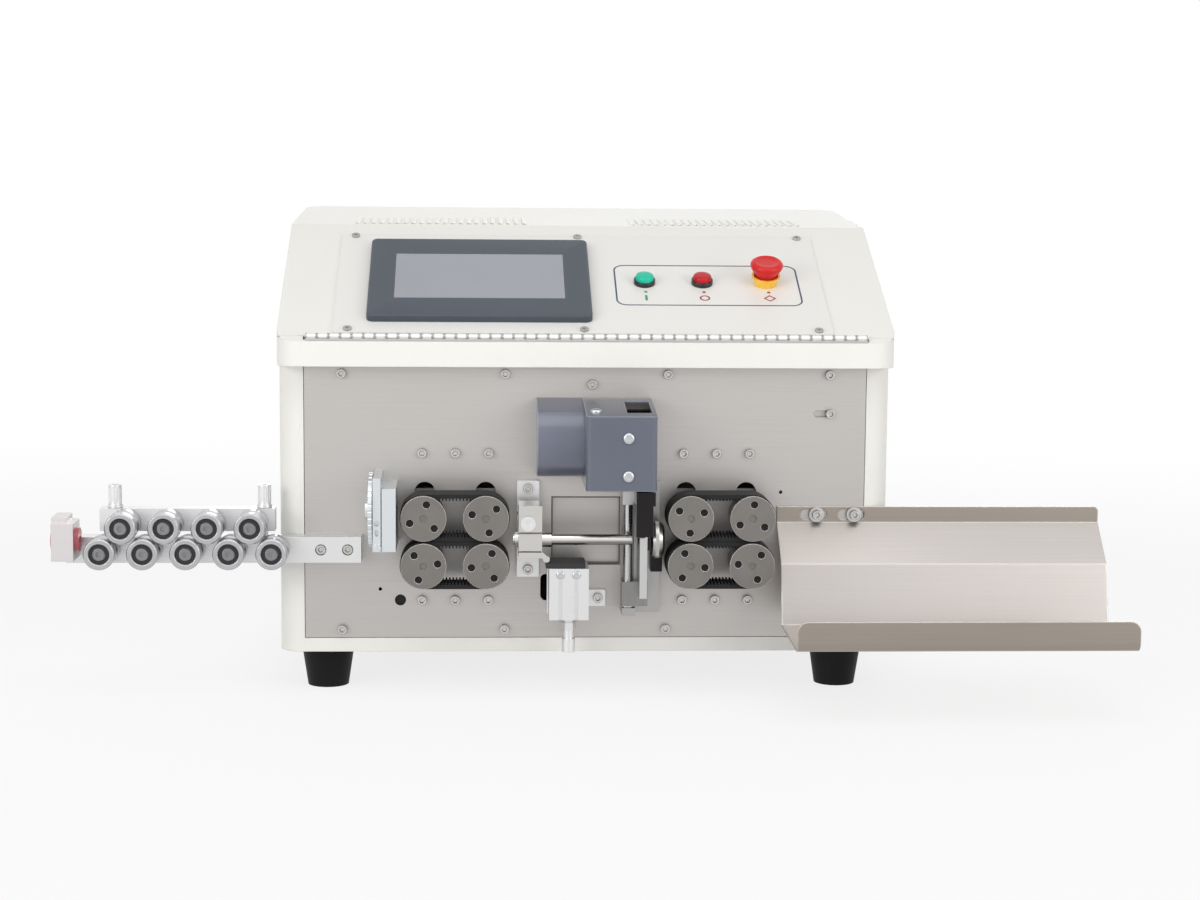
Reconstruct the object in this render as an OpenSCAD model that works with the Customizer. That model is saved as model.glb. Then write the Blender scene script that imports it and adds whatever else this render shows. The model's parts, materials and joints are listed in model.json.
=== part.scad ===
// Bench machine that cuts and strips wire.
// A white casing with a tip-up console carries a metal front plate. On the plate sit a roller
// straightener, a guide-hole selector, two belt feeds, a swinging guide tube, a V-blade cutter
// and an output tray. X runs along the wire, Y runs into the machine, Z is up.

/* [Casing] */
// Width of the casing
body_w = 548; // [530:1:590]
// Depth from the face of the front plate to the rear wall
body_d = 390; // [370:1:430]
// Radius of the upright corners
corner_r = 20; // [14:1:26]
// Thickness of the casing sheet
sheet_t = 2; // [1.5:0.5:3]
// Height of a rubber foot
foot_h = 37; // [28:1:46]
// Radius of a foot where it meets the casing
foot_r = 24; // [18:1:28]

/* [Front plate] */
// Width of the front plate
plate_w = 502; // [480:1:505]
// Height of the front plate
plate_h = 245; // [238:1:265]
// Thickness of the front plate
plate_t = 10; // [8:1:14]
// Casing left showing under the plate
plate_low = 13; // [9:1:20]
// Depth of the pocket behind the guide tube
pocket_d = 6; // [3:1:7]

/* [Console] */
// How far the brow stands out ahead of the plate
brow_out = 26; // [22:1:34]
// Height of the front face of the brow
brow_h = 22; // [16:1:30]
// Tilt of the console
slope_a = 26; // [20:1:32]
// Length of the console up its slope
slope_len = 222; // [216:1:240]
// Rise of the roof toward the rear
top_rise = 3.6; // [2:0.2:9]
// Radius of the hinge barrel
hinge_r = 3.2; // [2.8:0.1:3.6]
// Length of the hinge
hinge_len = 496; // [420:1:500]
// Length of one hinge knuckle
knuckle = 10; // [8:1:16]
// Width of the control panel
panel_w = 444; // [430:1:470]
// Thickness of the control panel
panel_t = 2; // [1.5:0.5:3]
// Number of vent slots in one group
vents = 22; // [8:1:24]

/* [Controls] */
// Width of the touch screen's frame
screen_w = 201; // [180:1:215]
// Height of the touch screen's frame
screen_h = 146; // [130:1:154]
// How far the screen's frame stands off the panel
screen_out = 7; // [4:1:10]
// Radius of a push button's cap
button_r = 7.4; // [6:0.2:8]
// Travel of a push button
button_travel = 2.5; // [2:0.5:3]
// Radius of the stop mushroom
mushroom_r = 15; // [13:0.5:18]
// Travel of the stop mushroom
mushroom_travel = 4; // [3:0.5:5]

/* [Wire path] */
// Height of the wire above the bottom of the plate
wire_h = 95; // [90:1:102]
// Distance of the wire ahead of the plate
wire_out = 38; // [36:1:42]

/* [Feed units] */
// Distance of each feed unit from the middle of the plate
feed_x = 117; // [116:1:124]
// Distance between the two pulleys of a belt
shaft_gap = 54.4; // [50:0.2:56]
// Radius over the outside of a belt on its pulley
belt_r = 20.8; // [18:0.2:21.4]
// Gap left between the upper and lower belts
nip = 0.4; // [0.3:0.1:2]
// Width of a belt
belt_w = 29; // [22:1:31]
// Radius of a feed shaft
shaft_r = 8; // [6:0.5:8.5]
// Lift of the upper belt
lift = 12; // [6:1:14]

/* [Straightener] */
// Radius of a straightening roller
roller_r = 13.7; // [10:0.1:14]
// Distance from roller to roller along a row
roller_pitch = 37.2; // [34:0.2:42]
// Gap left between upper and lower rollers
roller_gap = 1.8; // [1.6:0.1:3]
// Depth of the lower bar
bar_t = 19; // [16:1:20]

/* [Cutter] */
// Travel of each blade toward the wire
cut_travel = 12; // [8:1:12]
// Thickness of a blade
blade_t = 2.1; // [1.5:0.1:2.3]
// Depth of the front cutter cover
cover_d = 85; // [72:1:95]

/* [Guide tube] */
// Outer radius of the guide tube
tube_r = 4.7; // [4.2:0.1:5.6]
// Bore radius of the guide tube
tube_bore = 3.7; // [2.8:0.1:3.8]

/* [Output tray] */
// Length of the tray along the wire
tray_len = 293; // [240:1:320]
// Reach of the tray ahead of the plate
tray_out = 150; // [110:1:170]
// Thickness of the tray sheet
tray_t = 1.5; // [1:0.25:2.5]

/* [Hidden] */
$fn = 48;
fit = 0.05;
free = 0.3;
eps = 0.01;
// heights and the wire line
zb = foot_h + plate_low;
wz = zb + wire_h;
wy = -wire_out;
pw = min(plate_w, body_w - 2 * corner_r - 4);
// console frame: a runs up the slope from the brow edge, n stands off it
brow_z0 = zb + plate_h + 1;
brow_z1 = brow_z0 + brow_h;
hinge_a = 7;
hinge_n = 1;
seam = hinge_r + 0.4;
ca = cos(slope_a);
sa = sin(slope_a);
seam_z = brow_z1 + (hinge_a + seam) * sa - 1.6;
slope_y = slope_len * ca - brow_out;
slope_z = brow_z1 + slope_len * sa;
roof_z = slope_z + (body_d - slope_y) * tan(top_rise);
panel_a0 = hinge_a + 6.2;
panel_a1 = slope_len - 23;
panel_x = -3;
screen_x = panel_x - 0.2083 * panel_w;
screen_a = (panel_a0 + panel_a1) / 2 - 1.3;
button_a = screen_a + 1.2;
start_x = panel_x + 0.1318 * panel_w;
stop_x = panel_x + 0.2511 * panel_w;
estop_x = panel_x + 0.3829 * panel_w;
// feed units
axis_dz = belt_r + nip / 2;
disc_r = belt_r - 0.8;
disc_t = 4;
belt_t = 3.6;
tooth_h = 1.8;
pulley_r = belt_r - belt_t - tooth_h - 0.4;
belt_y0 = wy - belt_w / 2;
belt_y1 = wy + belt_w / 2;
slot_r = shaft_r + 1;
unit_w = shaft_gap / 2 + shaft_r + 17;
frame_y0 = plate_t;
frame_y1 = plate_t + 52;
// selector
sel_x = -feed_x - shaft_gap / 2 - belt_r - 3;
sel_r = 26.5;
sel_holes = [4.5, 3.8, 3.2, 2.6, 2, 1.5];
// straightener: its bar ends short of the selector and laps the left edge of the plate
bar_x1 = sel_x - 32;
bar_lap = bar_x1 + pw / 2;
row_x = -pw / 2 - 100;
bar_x0 = row_x - 2 * roller_pitch - 34;
row_dz = sqrt(pow(2 * roller_r + roller_gap, 2) - pow(roller_pitch / 2, 2)) / 2;
roller_y0 = wy - 15;
roller_y1 = -bar_t - 1.3;
bearing_in = 3.2;
stud_x = 1.76 * roller_pitch;
stud_y = -bar_t / 2 - 1.5;
inlet_x1 = row_x - 2 * roller_pitch - roller_r - 7.7;
inlet_x0 = inlet_x1 - 19;
// cutter, set out from the plane where the blades pass
cut_x = 51.75;
mouth = 7;
screw_x = cut_x - 15.25;
screw_y = -24;
rail_x0 = cut_x - 9.75;
rail_x1 = cut_x - 1.75;
back_x0 = cut_x - 20.25;
back_x1 = cut_x + 14.25;
cover_x0 = -4;
cover_x1 = 57.5;
motor_z = wz + 93;
// guide tube
pivot_x = -53;
pivot_z = wz + 17;
clamp_x0 = pivot_x - 8.3;
clamp_x1 = pivot_x + 12.3;
sleeve_r = tube_r + 2;
tube_x0 = pivot_x - 13;
tube_x1 = cut_x - 12.55;
toe_x = pivot_x + 16.5;
toe_r = 3;
pad_top = wz - 20.2;
// tray
tray_x0 = feed_x + shaft_gap / 2 + disc_r + 8;
tray_x1 = tray_x0 + tray_len;
tray_flange = 14.4;
tray_y = -free - tray_t;
lip_r = 9;
// overall box and the shift that centres it
box_x0 = inlet_x0 - 1.5;
box_x1 = tray_x1;
box_y0 = -tray_out - tray_t;
box_y1 = body_d + 3;
shift_x = -(box_x0 + box_x1) / 2;
shift_y = -(box_y0 + box_y1) / 2;
// fixing screws on the plate: x, height above the wire
row_step = (pw - 66) / 6;
plate_fix = [
    for (i = [-3, -1, 1, 3]) [i * row_step, plate_h - wire_h - 7],
    for (i = [-3, -1, 1, 3]) [i * row_step, 7.5 - wire_h],
    for (s = [-1, 1], i = [-1, 0, 1]) [s * feed_x + i * 29.7, 72],
    for (s = [-1, 1], i = [-1, 0, 1]) [s * feed_x + i * 29.7, -61],
    [5, 134],
    [pw / 2 - 32, 108]
];
bracket_fix = [[-52, 41], [-52, -32]];
bar_fix = [bar_x1 - 0.7 * bar_lap, bar_x1 - 0.235 * bar_lap];
tray_fix = [tray_x0 + 36, tray_x0 + 70];
foot_x = body_w / 2 - 41;
foot_y = [38, body_d - 38];

module place() {
    translate([shift_x, shift_y, 0]) children();
}

module on_slope() {
    translate([0, -brow_out, brow_z1]) rotate([slope_a, 0, 0]) children();
}

module on_roof() {
    translate([0, slope_y, slope_z]) rotate([top_rise, 0, 0]) children();
}

module box(x0, x1, y0, y1, z0, z1) {
    translate([x0, y0, z0]) cube([x1 - x0, y1 - y0, z1 - z0]);
}

// a round bar along +Y
module bar_y(r, y0, y1) {
    translate([0, y0, 0]) rotate([-90, 0, 0]) cylinder(r = r, h = y1 - y0);
}

// a round bar along +X
module bar_x(r, x0, x1) {
    translate([x0, 0, 0]) rotate([0, 90, 0]) cylinder(r = r, h = x1 - x0);
}

// a flat outline given as [y, z], drawn out along X
module profile_x(points, x0, x1) {
    translate([x0, 0, 0]) rotate([90, 0, 90]) linear_extrude(x1 - x0) polygon(points);
}

module round_rect(x0, x1, y0, y1, r) {
    union() {
        translate([x0 + r, y0]) square([x1 - x0 - 2 * r, y1 - y0]);
        translate([x0, y0 + r]) square([x1 - x0, y1 - y0 - 2 * r]);
        for (x = [x0 + r, x1 - r], y = [y0 + r, y1 - r])
            translate([x, y]) circle(r);
    }
}

// plan of the casing from a chosen front line, drawn in by t
module plan(y0, t) {
    w = body_w / 2 - t;
    round_rect(-w, w, y0 + t, body_d - t, corner_r - t);
}

// socket-head screw, head on the -Y side of y = 0
module cap_screw(len, r = 2.5) {
    difference() {
        union() {
            bar_y(1.7 * r, -r * 1.8, 0);
            bar_y(r, -eps, len);
        }
        translate([0, -r * 1.8 - 1, 0]) rotate([-90, 0, 0]) cylinder(r = r * 0.98, h = r + 1, $fn = 6);
    }
}

// obround post along +Y, used to cut slots
module slot_y(r, x0, z0, x1, z1, y0, y1) {
    translate([0, y1, 0]) rotate([90, 0, 0]) linear_extrude(y1 - y0) {
        union() {
            translate([x0, z0]) circle(r);
            translate([x1, z1]) circle(r);
            if (x0 == x1)
                translate([x0 - r, z0]) square([2 * r, z1 - z0]);
            else
                translate([x0, z0 - r]) square([x1 - x0, 2 * r]);
        }
    }
}

module base_pan() color("Gainsboro") place() difference() {
    union() {
        translate([0, 0, foot_h]) linear_extrude(3) intersection() {
            plan(0, sheet_t + free);
            translate([-body_w, plate_t]) square([2 * body_w, body_d]);
        }
        box(-pw / 2 + 14, pw / 2 - 14, plate_t, plate_t + 3, foot_h, zb + 18);
    }
    for (x = [-foot_x, foot_x], y = foot_y)
        translate([x, y, foot_h - 1]) cylinder(r = 3, h = 6);
}

// front lip of the casing: a bent channel that carries the fixed half of the hinge
module brow() {
    s = hinge_a - seam;
    e = hinge_a + seam;
    difference() {
        intersection() {
            profile_x([
                [corner_r, brow_z0],
                [-brow_out, brow_z0],
                [-brow_out, brow_z1],
                [s * ca - brow_out, brow_z1 + s * sa],
                [s * ca + 4 * sa - brow_out, brow_z1 + s * sa - 4 * ca],
                [e * ca + 4 * sa - brow_out, brow_z1 + e * sa - 4 * ca],
                [e * ca + 4 * sa - brow_out, seam_z],
                [corner_r, seam_z]
            ], -body_w / 2, body_w / 2);
            translate([0, 0, brow_z0 - 1]) linear_extrude(seam_z) plan(-brow_out, 0);
        }
        intersection() {
            profile_x([
                [corner_r + 1, brow_z0 + sheet_t],
                [sheet_t - brow_out, brow_z0 + sheet_t],
                [sheet_t - brow_out, brow_z1 - 5 - sheet_t],
                [e * ca + 4 * sa - brow_out + sheet_t, brow_z1 - 5 - sheet_t],
                [e * ca + 4 * sa - brow_out + sheet_t, seam_z + 1],
                [corner_r + 1, seam_z + 1]
            ], -body_w, body_w);
            translate([0, 0, brow_z0 - 1]) linear_extrude(seam_z) plan(-brow_out, sheet_t);
        }
    }
    // the strip closes up to the hood beyond the ends of the hinge
    intersection() {
        on_slope() for (d = [-1, 1])
            translate([d * (hinge_len / 4 + body_w / 4 + 1), 0, 0])
                translate([-(body_w - hinge_len) / 4, s - 1, -4.5])
                    cube([(body_w - hinge_len) / 2 - 1, e - s + 0.4, 4.5]);
        translate([0, 0, brow_z0 - 1]) linear_extrude(seam_z) plan(-brow_out, 0);
    }
}

module body_shell() color("Ivory") place() difference() {
    union() {
        difference() {
            translate([0, 0, foot_h]) linear_extrude(seam_z - foot_h) plan(0, 0);
            translate([0, 0, foot_h - 1]) linear_extrude(seam_z) plan(0, sheet_t);
        }
        brow();
    }
    box(-pw / 2 - 0.5, pw / 2 + 0.5, -1, sheet_t + 1, zb - 0.5, brow_z0 + eps);
    inlet_cut();
    for (i = [-6 : 6])
        box(120 + i * 9 - 2, 120 + i * 9 + 2, body_d - 5, body_d + 1, zb + 80, zb + 150);
}

module front_plate() color("Silver") place() difference() {
    box(-pw / 2, pw / 2, 0, plate_t, zb, zb + plate_h);
    for (p = plate_fix)
        translate([p[0], 0, wz + p[1]]) bar_y(2.5 + fit, -1, plate_t + 1);
    for (p = bracket_fix)
        translate([p[0], 0, wz + p[1]]) bar_y(2.5 + fit, -1, plate_t + 1);
    for (x = bar_fix)
        translate([x, 0, wz - 12.5]) bar_y(2.5 + fit, -1, plate_t + 1);
    for (x = tray_fix)
        translate([x, 0, wz + 17]) bar_y(2.5 + fit, -1, plate_t + 1);
    translate([11, 0, wz - 58.4]) bar_y(2.5 + fit, -1, plate_t + 1);
    for (s = [-1, 1], d = [-1, 1]) {
        x = s * feed_x + d * shaft_gap / 2;
        slot_y(slot_r, x, wz + axis_dz, x, wz + axis_dz + lift + 4, -1, plate_t + 1);
        translate([x, 0, wz - axis_dz]) bar_y(slot_r, -1, plate_t + 1);
    }
    box(-31, 31, -1, pocket_d, wz - 29, wz + 33);
    slot_y(4.5, -36, wz - 57, -36, wz - 42, -1, plate_t + 1);
    translate([-166, 0, wz - 61]) bar_y(5, -1, plate_t + 1);
    translate([-184, 0, wz - 51]) bar_y(1.6, -1, plate_t + 1);
    translate([175.5, 0, wz + 37]) bar_y(1.6, -1, plate_t + 1);
    slot_y(3, pw / 2 - 44, wz + 108, pw / 2 - 32, wz + 108, -1, 3);
}

module front_screws() color("DarkGray") place() {
    for (p = plate_fix)
        translate([p[0], 0, wz + p[1]]) cap_screw(plate_t - 2);
    for (p = bracket_fix)
        translate([p[0], -6, wz + p[1]]) cap_screw(plate_t + 4);
    for (x = bar_fix)
        translate([x, 5 - bar_t, wz - 12.5]) cap_screw(bar_t + plate_t - 8);
    for (x = tray_fix)
        translate([x, tray_y - free, wz + 17]) {
            translate([0, -1, 0]) cap_screw(plate_t);
            difference() {
                bar_y(7, -1, 0);
                bar_y(2.5, -2, 1);
            }
        }
    translate([11, -4, wz - 58.4]) cap_screw(plate_t + 2);
}

module rubber_feet() color("DimGray") place() {
    for (x = [-foot_x, foot_x], y = foot_y)
        translate([x, y, 0]) difference() {
            union() {
                cylinder(r1 = foot_r * 0.77, r2 = foot_r, h = foot_h);
                translate([0, 0, foot_h - eps]) cylinder(r = 3, h = 3);
            }
            translate([0, 0, -1]) cylinder(r = 7, h = 7);
        }
}

// power inlet with a rocker beside it, on the rear wall
inlet_cx = -body_w / 4 - 40;
inlet_cz = zb + 55;
rocker_x = inlet_cx + 19;
rocker_y = body_d - 3;

module inlet_cut() {
    box(inlet_cx - 26, inlet_cx + 28, body_d - 10, body_d + 1, inlet_cz - 14, inlet_cz + 14);
}

module power_inlet() color("DimGray") place() {
    difference() {
        union() {
            box(inlet_cx - 31, inlet_cx + 33, body_d, body_d + 3, inlet_cz - 18, inlet_cz + 18);
            box(inlet_cx - 25, inlet_cx + 27, body_d - 28, body_d + eps, inlet_cz - 13, inlet_cz + 13);
        }
        translate([inlet_cx - 8, body_d + 4, inlet_cz]) rotate([90, 0, 0]) linear_extrude(19)
            polygon([[-12, -8], [12, -8], [12, 4], [8, 8], [-8, 8], [-12, 4]]);
        box(rocker_x - 6.3, rocker_x + 6.3, body_d - 14, body_d + 4, inlet_cz - 11, inlet_cz + 11);
    }
    for (p = [[0, -3], [-7, 2], [7, 2]])
        box(inlet_cx - 9 + p[0], inlet_cx - 7 + p[0], body_d - 15, body_d - 1,
            inlet_cz + p[1] - 2, inlet_cz + p[1] + 2);
}

module power_switch() color("Black") place() {
    translate([rocker_x, rocker_y, inlet_cz]) rotate([-6, 0, 0]) difference() {
        profile_x([[-5, -5], [-5, 5], [2, 9.4], [4.6, 9.4], [3, 0], [4.6, -9.4], [2, -9.4]], -6, 6);
        bar_x(1.5 + fit, -7, 7);
    }
}

module control_electronics() color("DarkSeaGreen") place() {
    z = foot_h + 3;
    difference() {
        box(-230, -70, 190, 290, z, z + 44);
        for (i = [0 : 8])
            box(-222 + i * 14, -216 + i * 14, 200, 260, z + 40, z + 45);
    }
    box(30, 230, 180, 320, z + 12, z + 14);
    for (x = [38, 222], y = [188, 312])
        translate([x, y, z]) cylinder(r = 4, h = 12);
    box(50, 90, 196, 300, z + 14, z + 36);
    box(120, 150, 200, 230, z + 14, z + 18);
    for (i = [0 : 3])
        box(110 + i * 27, 132 + i * 27, 268, 300, z + 14, z + 32);
}

module motor_57(len) {
    difference() {
        linear_extrude(len) round_rect(-28.2, 28.2, -28.2, 28.2, 5);
        for (x = [-1, 1], y = [-1, 1])
            translate([x * 23.6, y * 23.6, 5]) linear_extrude(len)
                translate([x * 10, y * 10]) square(22, center = true);
    }
}

module drive_motors() color("DimGray") place() {
    for (s = [-1, 1])
        translate([s * feed_x, frame_y1, wz - axis_dz]) rotate([-90, 0, 0]) motor_57(76);
    box(cover_x0 - 38, cover_x0 - 2.5, -43, -13, motor_z - 15, motor_z + 15);
    translate([0, -28, motor_z]) bar_x(11, cover_x0 - 2.5 - eps, cover_x0 + 5);
}

module feed_frames() color("LightSteelBlue") place() {
    for (s = [-1, 1])
        translate([s * feed_x, 0, 0]) difference() {
            union() {
                box(-unit_w - 10, unit_w + 10, frame_y0, frame_y1, wz - 70, wz + 81);
                translate([0, plate_t + 26, wz + 80]) cylinder(r = 16, h = 41);
            }
            box(-unit_w - free, unit_w + free, frame_y0 - 1, frame_y1 + 1, wz + 2.2, wz + 63);
            for (d = [-1, 1])
                translate([d * shaft_gap / 2, 0, wz - axis_dz]) bar_y(shaft_r + fit, frame_y0 - 1, frame_y1 - 5);
            translate([0, plate_t + 26, wz + 60]) cylinder(r = 4 + fit, h = 56);
            for (i = [-1, 0, 1], h = [72, -61])
                translate([i * 29.7, 0, wz + h]) bar_y(2.5 + fit, 0, frame_y0 + 2);
        }
}

// a belt round two pulleys, centred on the nip line, teeth on its two runs
module belt_loop() {
    translate([0, belt_y1, 0]) rotate([90, 0, 0]) linear_extrude(belt_w) difference() {
        union() {
            for (d = [-1, 1])
                translate([d * shaft_gap / 2, 0]) circle(belt_r);
            translate([-shaft_gap / 2, -belt_r]) square([shaft_gap, 2 * belt_r]);
        }
        difference() {
            union() {
                for (d = [-1, 1])
                    translate([d * shaft_gap / 2, 0]) circle(belt_r - belt_t);
                translate([-shaft_gap / 2, -belt_r + belt_t])
                    square([shaft_gap, 2 * (belt_r - belt_t)]);
            }
            for (i = [0 : floor(shaft_gap / 3) - 1], d = [-1, 1])
                translate([-shaft_gap / 2 + 1.7 + 3 * i, d * (belt_r - belt_t - tooth_h / 2)])
                    square([1.5, tooth_h + 0.2], center = true);
        }
    }
}

module lower_belts() color("DimGray") place() {
    for (s = [-1, 1])
        translate([s * feed_x, 0, wz - axis_dz]) belt_loop();
}

module left_upper_belt() color("DimGray") place() {
    translate([-feed_x, 0, wz + axis_dz]) belt_loop();
}

module right_upper_belt() color("DimGray") place() {
    translate([feed_x, 0, wz + axis_dz]) belt_loop();
}

module carriage(s) {
    translate([s * feed_x, 0, 0]) difference() {
        union() {
            box(-unit_w, unit_w, frame_y0 + free, frame_y1 - 2, wz + 2.2 + free, wz + 39);
            translate([0, plate_t + 26, wz + 38]) cylinder(r = 4, h = 62);
        }
        for (d = [-1, 1])
            translate([d * shaft_gap / 2, 0, wz + axis_dz]) bar_y(shaft_r + fit, 0, frame_y1 - 5);
    }
}

module left_carriage() color("SteelBlue") place() carriage(-1);

module right_carriage() color("SteelBlue") place() carriage(1);

// toothed pulley with its front disc, rear flange and shaft
module pulley(s, d, up, turn) {
    teeth = 30;
    translate([s * feed_x + d * shaft_gap / 2, 0, wz + up * axis_dz]) rotate([0, turn, 0]) difference() {
        union() {
            bar_y(disc_r, belt_y0 - 0.4 - disc_t, belt_y0 - 0.4);
            bar_y(pulley_r, belt_y0 - 0.5, belt_y1 + 0.5);
            bar_y(disc_r - 2, belt_y1 + 0.4, belt_y1 + 3.4);
            bar_y(shaft_r, belt_y1, frame_y1 - 6);
        }
        for (i = [0 : 2])
            rotate([0, i * 120, 0]) translate([0, 0, disc_r * 0.63])
                bar_y(disc_r * 0.165, belt_y0 - 10, belt_y0 - 0.4 + eps);
        translate([0, belt_y0 - disc_t - 1, 0]) bar_y(3.2, 0, 2.6);
        for (i = [0 : teeth - 1])
            rotate([0, i * 360 / teeth, 0])
                box(-0.75, 0.75, belt_y0 - 0.4, belt_y1 + 0.4, pulley_r - 1.2, pulley_r + 1);
    }
}

module pulley_l1() color("Gray") place() pulley(-1, -1, 1, 12);

module pulley_l2() color("Gray") place() pulley(-1, 1, 1, 47);

module pulley_l3() color("Gray") place() pulley(-1, -1, -1, 80);

module pulley_l4() color("Gray") place() pulley(-1, 1, -1, 25);

module pulley_r1() color("Gray") place() pulley(1, -1, 1, 64);

module pulley_r2() color("Gray") place() pulley(1, 1, 1, 5);

module pulley_r3() color("Gray") place() pulley(1, -1, -1, 95);

module pulley_r4() color("Gray") place() pulley(1, 1, -1, 38);

module cutter_frame() color("LightGray") place() difference() {
    union() {
        box(back_x0, back_x1, -12, 0, wz - 61, wz + 48);
        box(back_x0, cover_x1 - 2.4, -12, 0, wz + 40, wz + 112);
        box(rail_x0, rail_x1, -20, -11, wz - 60, wz + 73);
        box(back_x0, rail_x0 + 1, -31, -11, wz - 70, wz - 63);
        box(back_x0, back_x1, -12, 0, wz - 70, wz - 60);
        box(cover_x0 + 5, cover_x1 - 3.5, -48, -4, motor_z - 16, motor_z + 16);
        box(cover_x0 + 5, cover_x1 - 3.5, -12, 0, motor_z - 16, motor_z + 16);
    }
    translate([screw_x, screw_y, wz - 71]) cylinder(r = 4 + fit, h = 9);
    translate([screw_x, screw_y, motor_z - 17]) cylinder(r = 4 + fit, h = 22);
}

// outline of the side cover in [y, z]: a round front under a sloping top, drawn in by t
module side_outline(y_back, t) {
    intersection() {
        union() {
            translate([-20, wz + 88]) circle(34 - t);
            translate([-20, wz + 54 + t]) square([20 + y_back, 68 - 2 * t]);
        }
        polygon([
            [y_back, wz],
            [-60, wz],
            [-60, wz + 109.4 - t],
            [0, wz + 122 - t],
            [y_back, wz + 122 - t]
        ]);
    }
}

module cutter_side_cover() color("SlateGray") place() {
    x0 = cover_x0 - 41;
    difference() {
        translate([x0, 0, 0]) rotate([90, 0, 90]) linear_extrude(cover_x0 - x0) side_outline(0, 0);
        translate([x0 + 2, 0, 0]) rotate([90, 0, 90]) linear_extrude(cover_x0 - x0) side_outline(1, 2);
    }
}

// the front cover has round upright edges: its side profile cut to its plan
module front_cover_block(y_back, t) {
    intersection() {
        profile_x([
            [y_back, wz + 49 - t],
            [t - cover_d, wz + 49 - t],
            [t - cover_d, wz + 114 - 0.9 * t],
            [-12, wz + 122 - t],
            [y_back, wz + 122 - t]
        ], cover_x0, cover_x1);
        translate([0, 0, wz]) linear_extrude(130)
            round_rect(cover_x0 + t, cover_x1 - t, t - cover_d, 20, 4.5 - t);
    }
}

module cutter_front_cover() color("SlateGray") place() difference() {
    front_cover_block(0, 0);
    front_cover_block(1, 2);
    translate([0, -28, motor_z]) bar_x(12, cover_x0 - 1, cover_x0 + 3);
    box(cover_x1 - 25.5, cover_x1 - 4, 15 - cover_d, 64 - cover_d, wz + 105, wz + 125);
    for (z = [wz + 95, wz + 62])
        translate([cover_x1 - 25, 0, z]) bar_y(1.6, -cover_d - 1, 4 - cover_d);
}

module lead_screw() color("Silver") place() {
    translate([screw_x, screw_y, wz - 69.7]) cylinder(r = 4, h = motor_z - wz + 73);
    translate([screw_x, screw_y, wz - 62.7]) cylinder(r = 5.6, h = 1.2);
}

// block that rides the rail, with the nut that the screw drives reaching below it
module cutter_slide(z0, z1, nut) {
    difference() {
        union() {
            box(back_x0 - 0.3, cut_x + 2.25, -32, -12.3, z0, z1);
            box(back_x0 - 0.3, rail_x0 - 0.8, -32, -12.3, z0 - nut, z1);
        }
        box(rail_x0 - free, rail_x1 + free, -20.3, -10, z0 - 1, z1 + 1);
        translate([screw_x, screw_y, z0 - nut - 1]) cylinder(r = 4 + free, h = z1 - z0 + nut + 2);
    }
}

// V blade in the YZ plane, its mouth toward +Z, apex h below the wire
module v_blade(h, x0, x1, low) {
    profile_x([
        [wy - 18, low],
        [wy - 18, mouth],
        [wy - 10.4, mouth],
        [wy, -h],
        [wy + 10.4, mouth],
        [-20.6, mouth],
        [-20.6, low]
    ], x0, x1);
}

// the holder hangs in front of the lower blade and passes it
module upper_blade() color("DimGray") place() {
    union() {
        cutter_slide(wz + 41, wz + 71, 11);
        box(cut_x - 10.75, cut_x + 6.25, wy - 26, -20.6, wz + mouth + 2 * cut_travel + 2, wz + 45);
        box(cut_x - 10.75, cut_x + 4.25, wy - 26, wy - 19.5, wz + 6, wz + 45);
        translate([0, 0, wz]) mirror([0, 0, 1])
            v_blade(cut_travel - 1, cut_x + 0.15, cut_x + 0.15 + blade_t + 0.1, -45);
    }
}

module lower_blade() color("LightGray") place() {
    union() {
        cutter_slide(wz - 61, wz - 39, 0);
        translate([0, 0, wz]) v_blade(cut_travel - 1, cut_x - 0.15 - blade_t, cut_x - 0.15, -50);
        translate([0, 0, wz - 3]) v_blade(cut_travel - 1, cut_x - 6.75, cut_x - 0.15 - blade_t + eps, -47);
    }
}

module outlet_guide() color("Lavender") place() difference() {
    union() {
        translate([cut_x + 3.55, wy, wz]) rotate([0, 90, 0]) rotate_extrude()
            polygon([[0, 0], [12, 0], [15.4, 1.5], [16.5, 4], [16.5, 7], [15.2, 10], [12, 12], [0, 12]]);
        box(cut_x + 5.25, cut_x + 15.25, wy + 12, -12, wz - 31, wz + 7);
    }
    translate([0, wy, wz]) bar_x(5, cut_x, cut_x + 20);
}

module tube_bracket() color("LightGray") place() {
    difference() {
        box(pivot_x - 9, pivot_x + 11, -6, 0, wz - 39, wz + 48);
        for (p = bracket_fix)
            translate([p[0], 0, wz + p[1]]) bar_y(2.5 + fit, -7, 1);
    }
    translate([pivot_x, 0, pivot_z]) {
        bar_y(4, wy - 19, -6);
        bar_y(9, -19.7, -6);
        difference() {
            bar_y(6.5, wy - 22.3, wy - 18.3);
            translate([0, wy - 23, 0]) rotate([-90, 0, 0]) cylinder(r = 3, h = 3, $fn = 6);
        }
    }
}

// split clamp that swings on the pivot, with its toe and sleeve, and the tube it holds
module guide_tube() color("WhiteSmoke") place() {
    difference() {
        union() {
            box(clamp_x0, clamp_x1, wy - 18, -20, wz - 14, wz + 32);
            translate([0, wy, wz]) bar_x(sleeve_r, tube_x0 + 1.5, clamp_x1 + 8.7);
            profile_toe();
        }
        for (z = [wz + sleeve_r + 0.8, wz - sleeve_r - 2.3])
            box(clamp_x0 - 1, clamp_x1 + 1, wy - 19, wy - 8, z, z + 1.5);
        translate([0, wy, wz]) bar_x(tube_r + fit, tube_x0 - 1, tube_x1 + 1);
        translate([pivot_x, 0, pivot_z]) bar_y(4 + fit, wy - 30, 0);
    }
    translate([0, wy, wz]) difference() {
        bar_x(tube_r, tube_x0, tube_x1);
        bar_x(tube_bore, tube_x0 - 1, tube_x1 + 1);
    }
}

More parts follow.
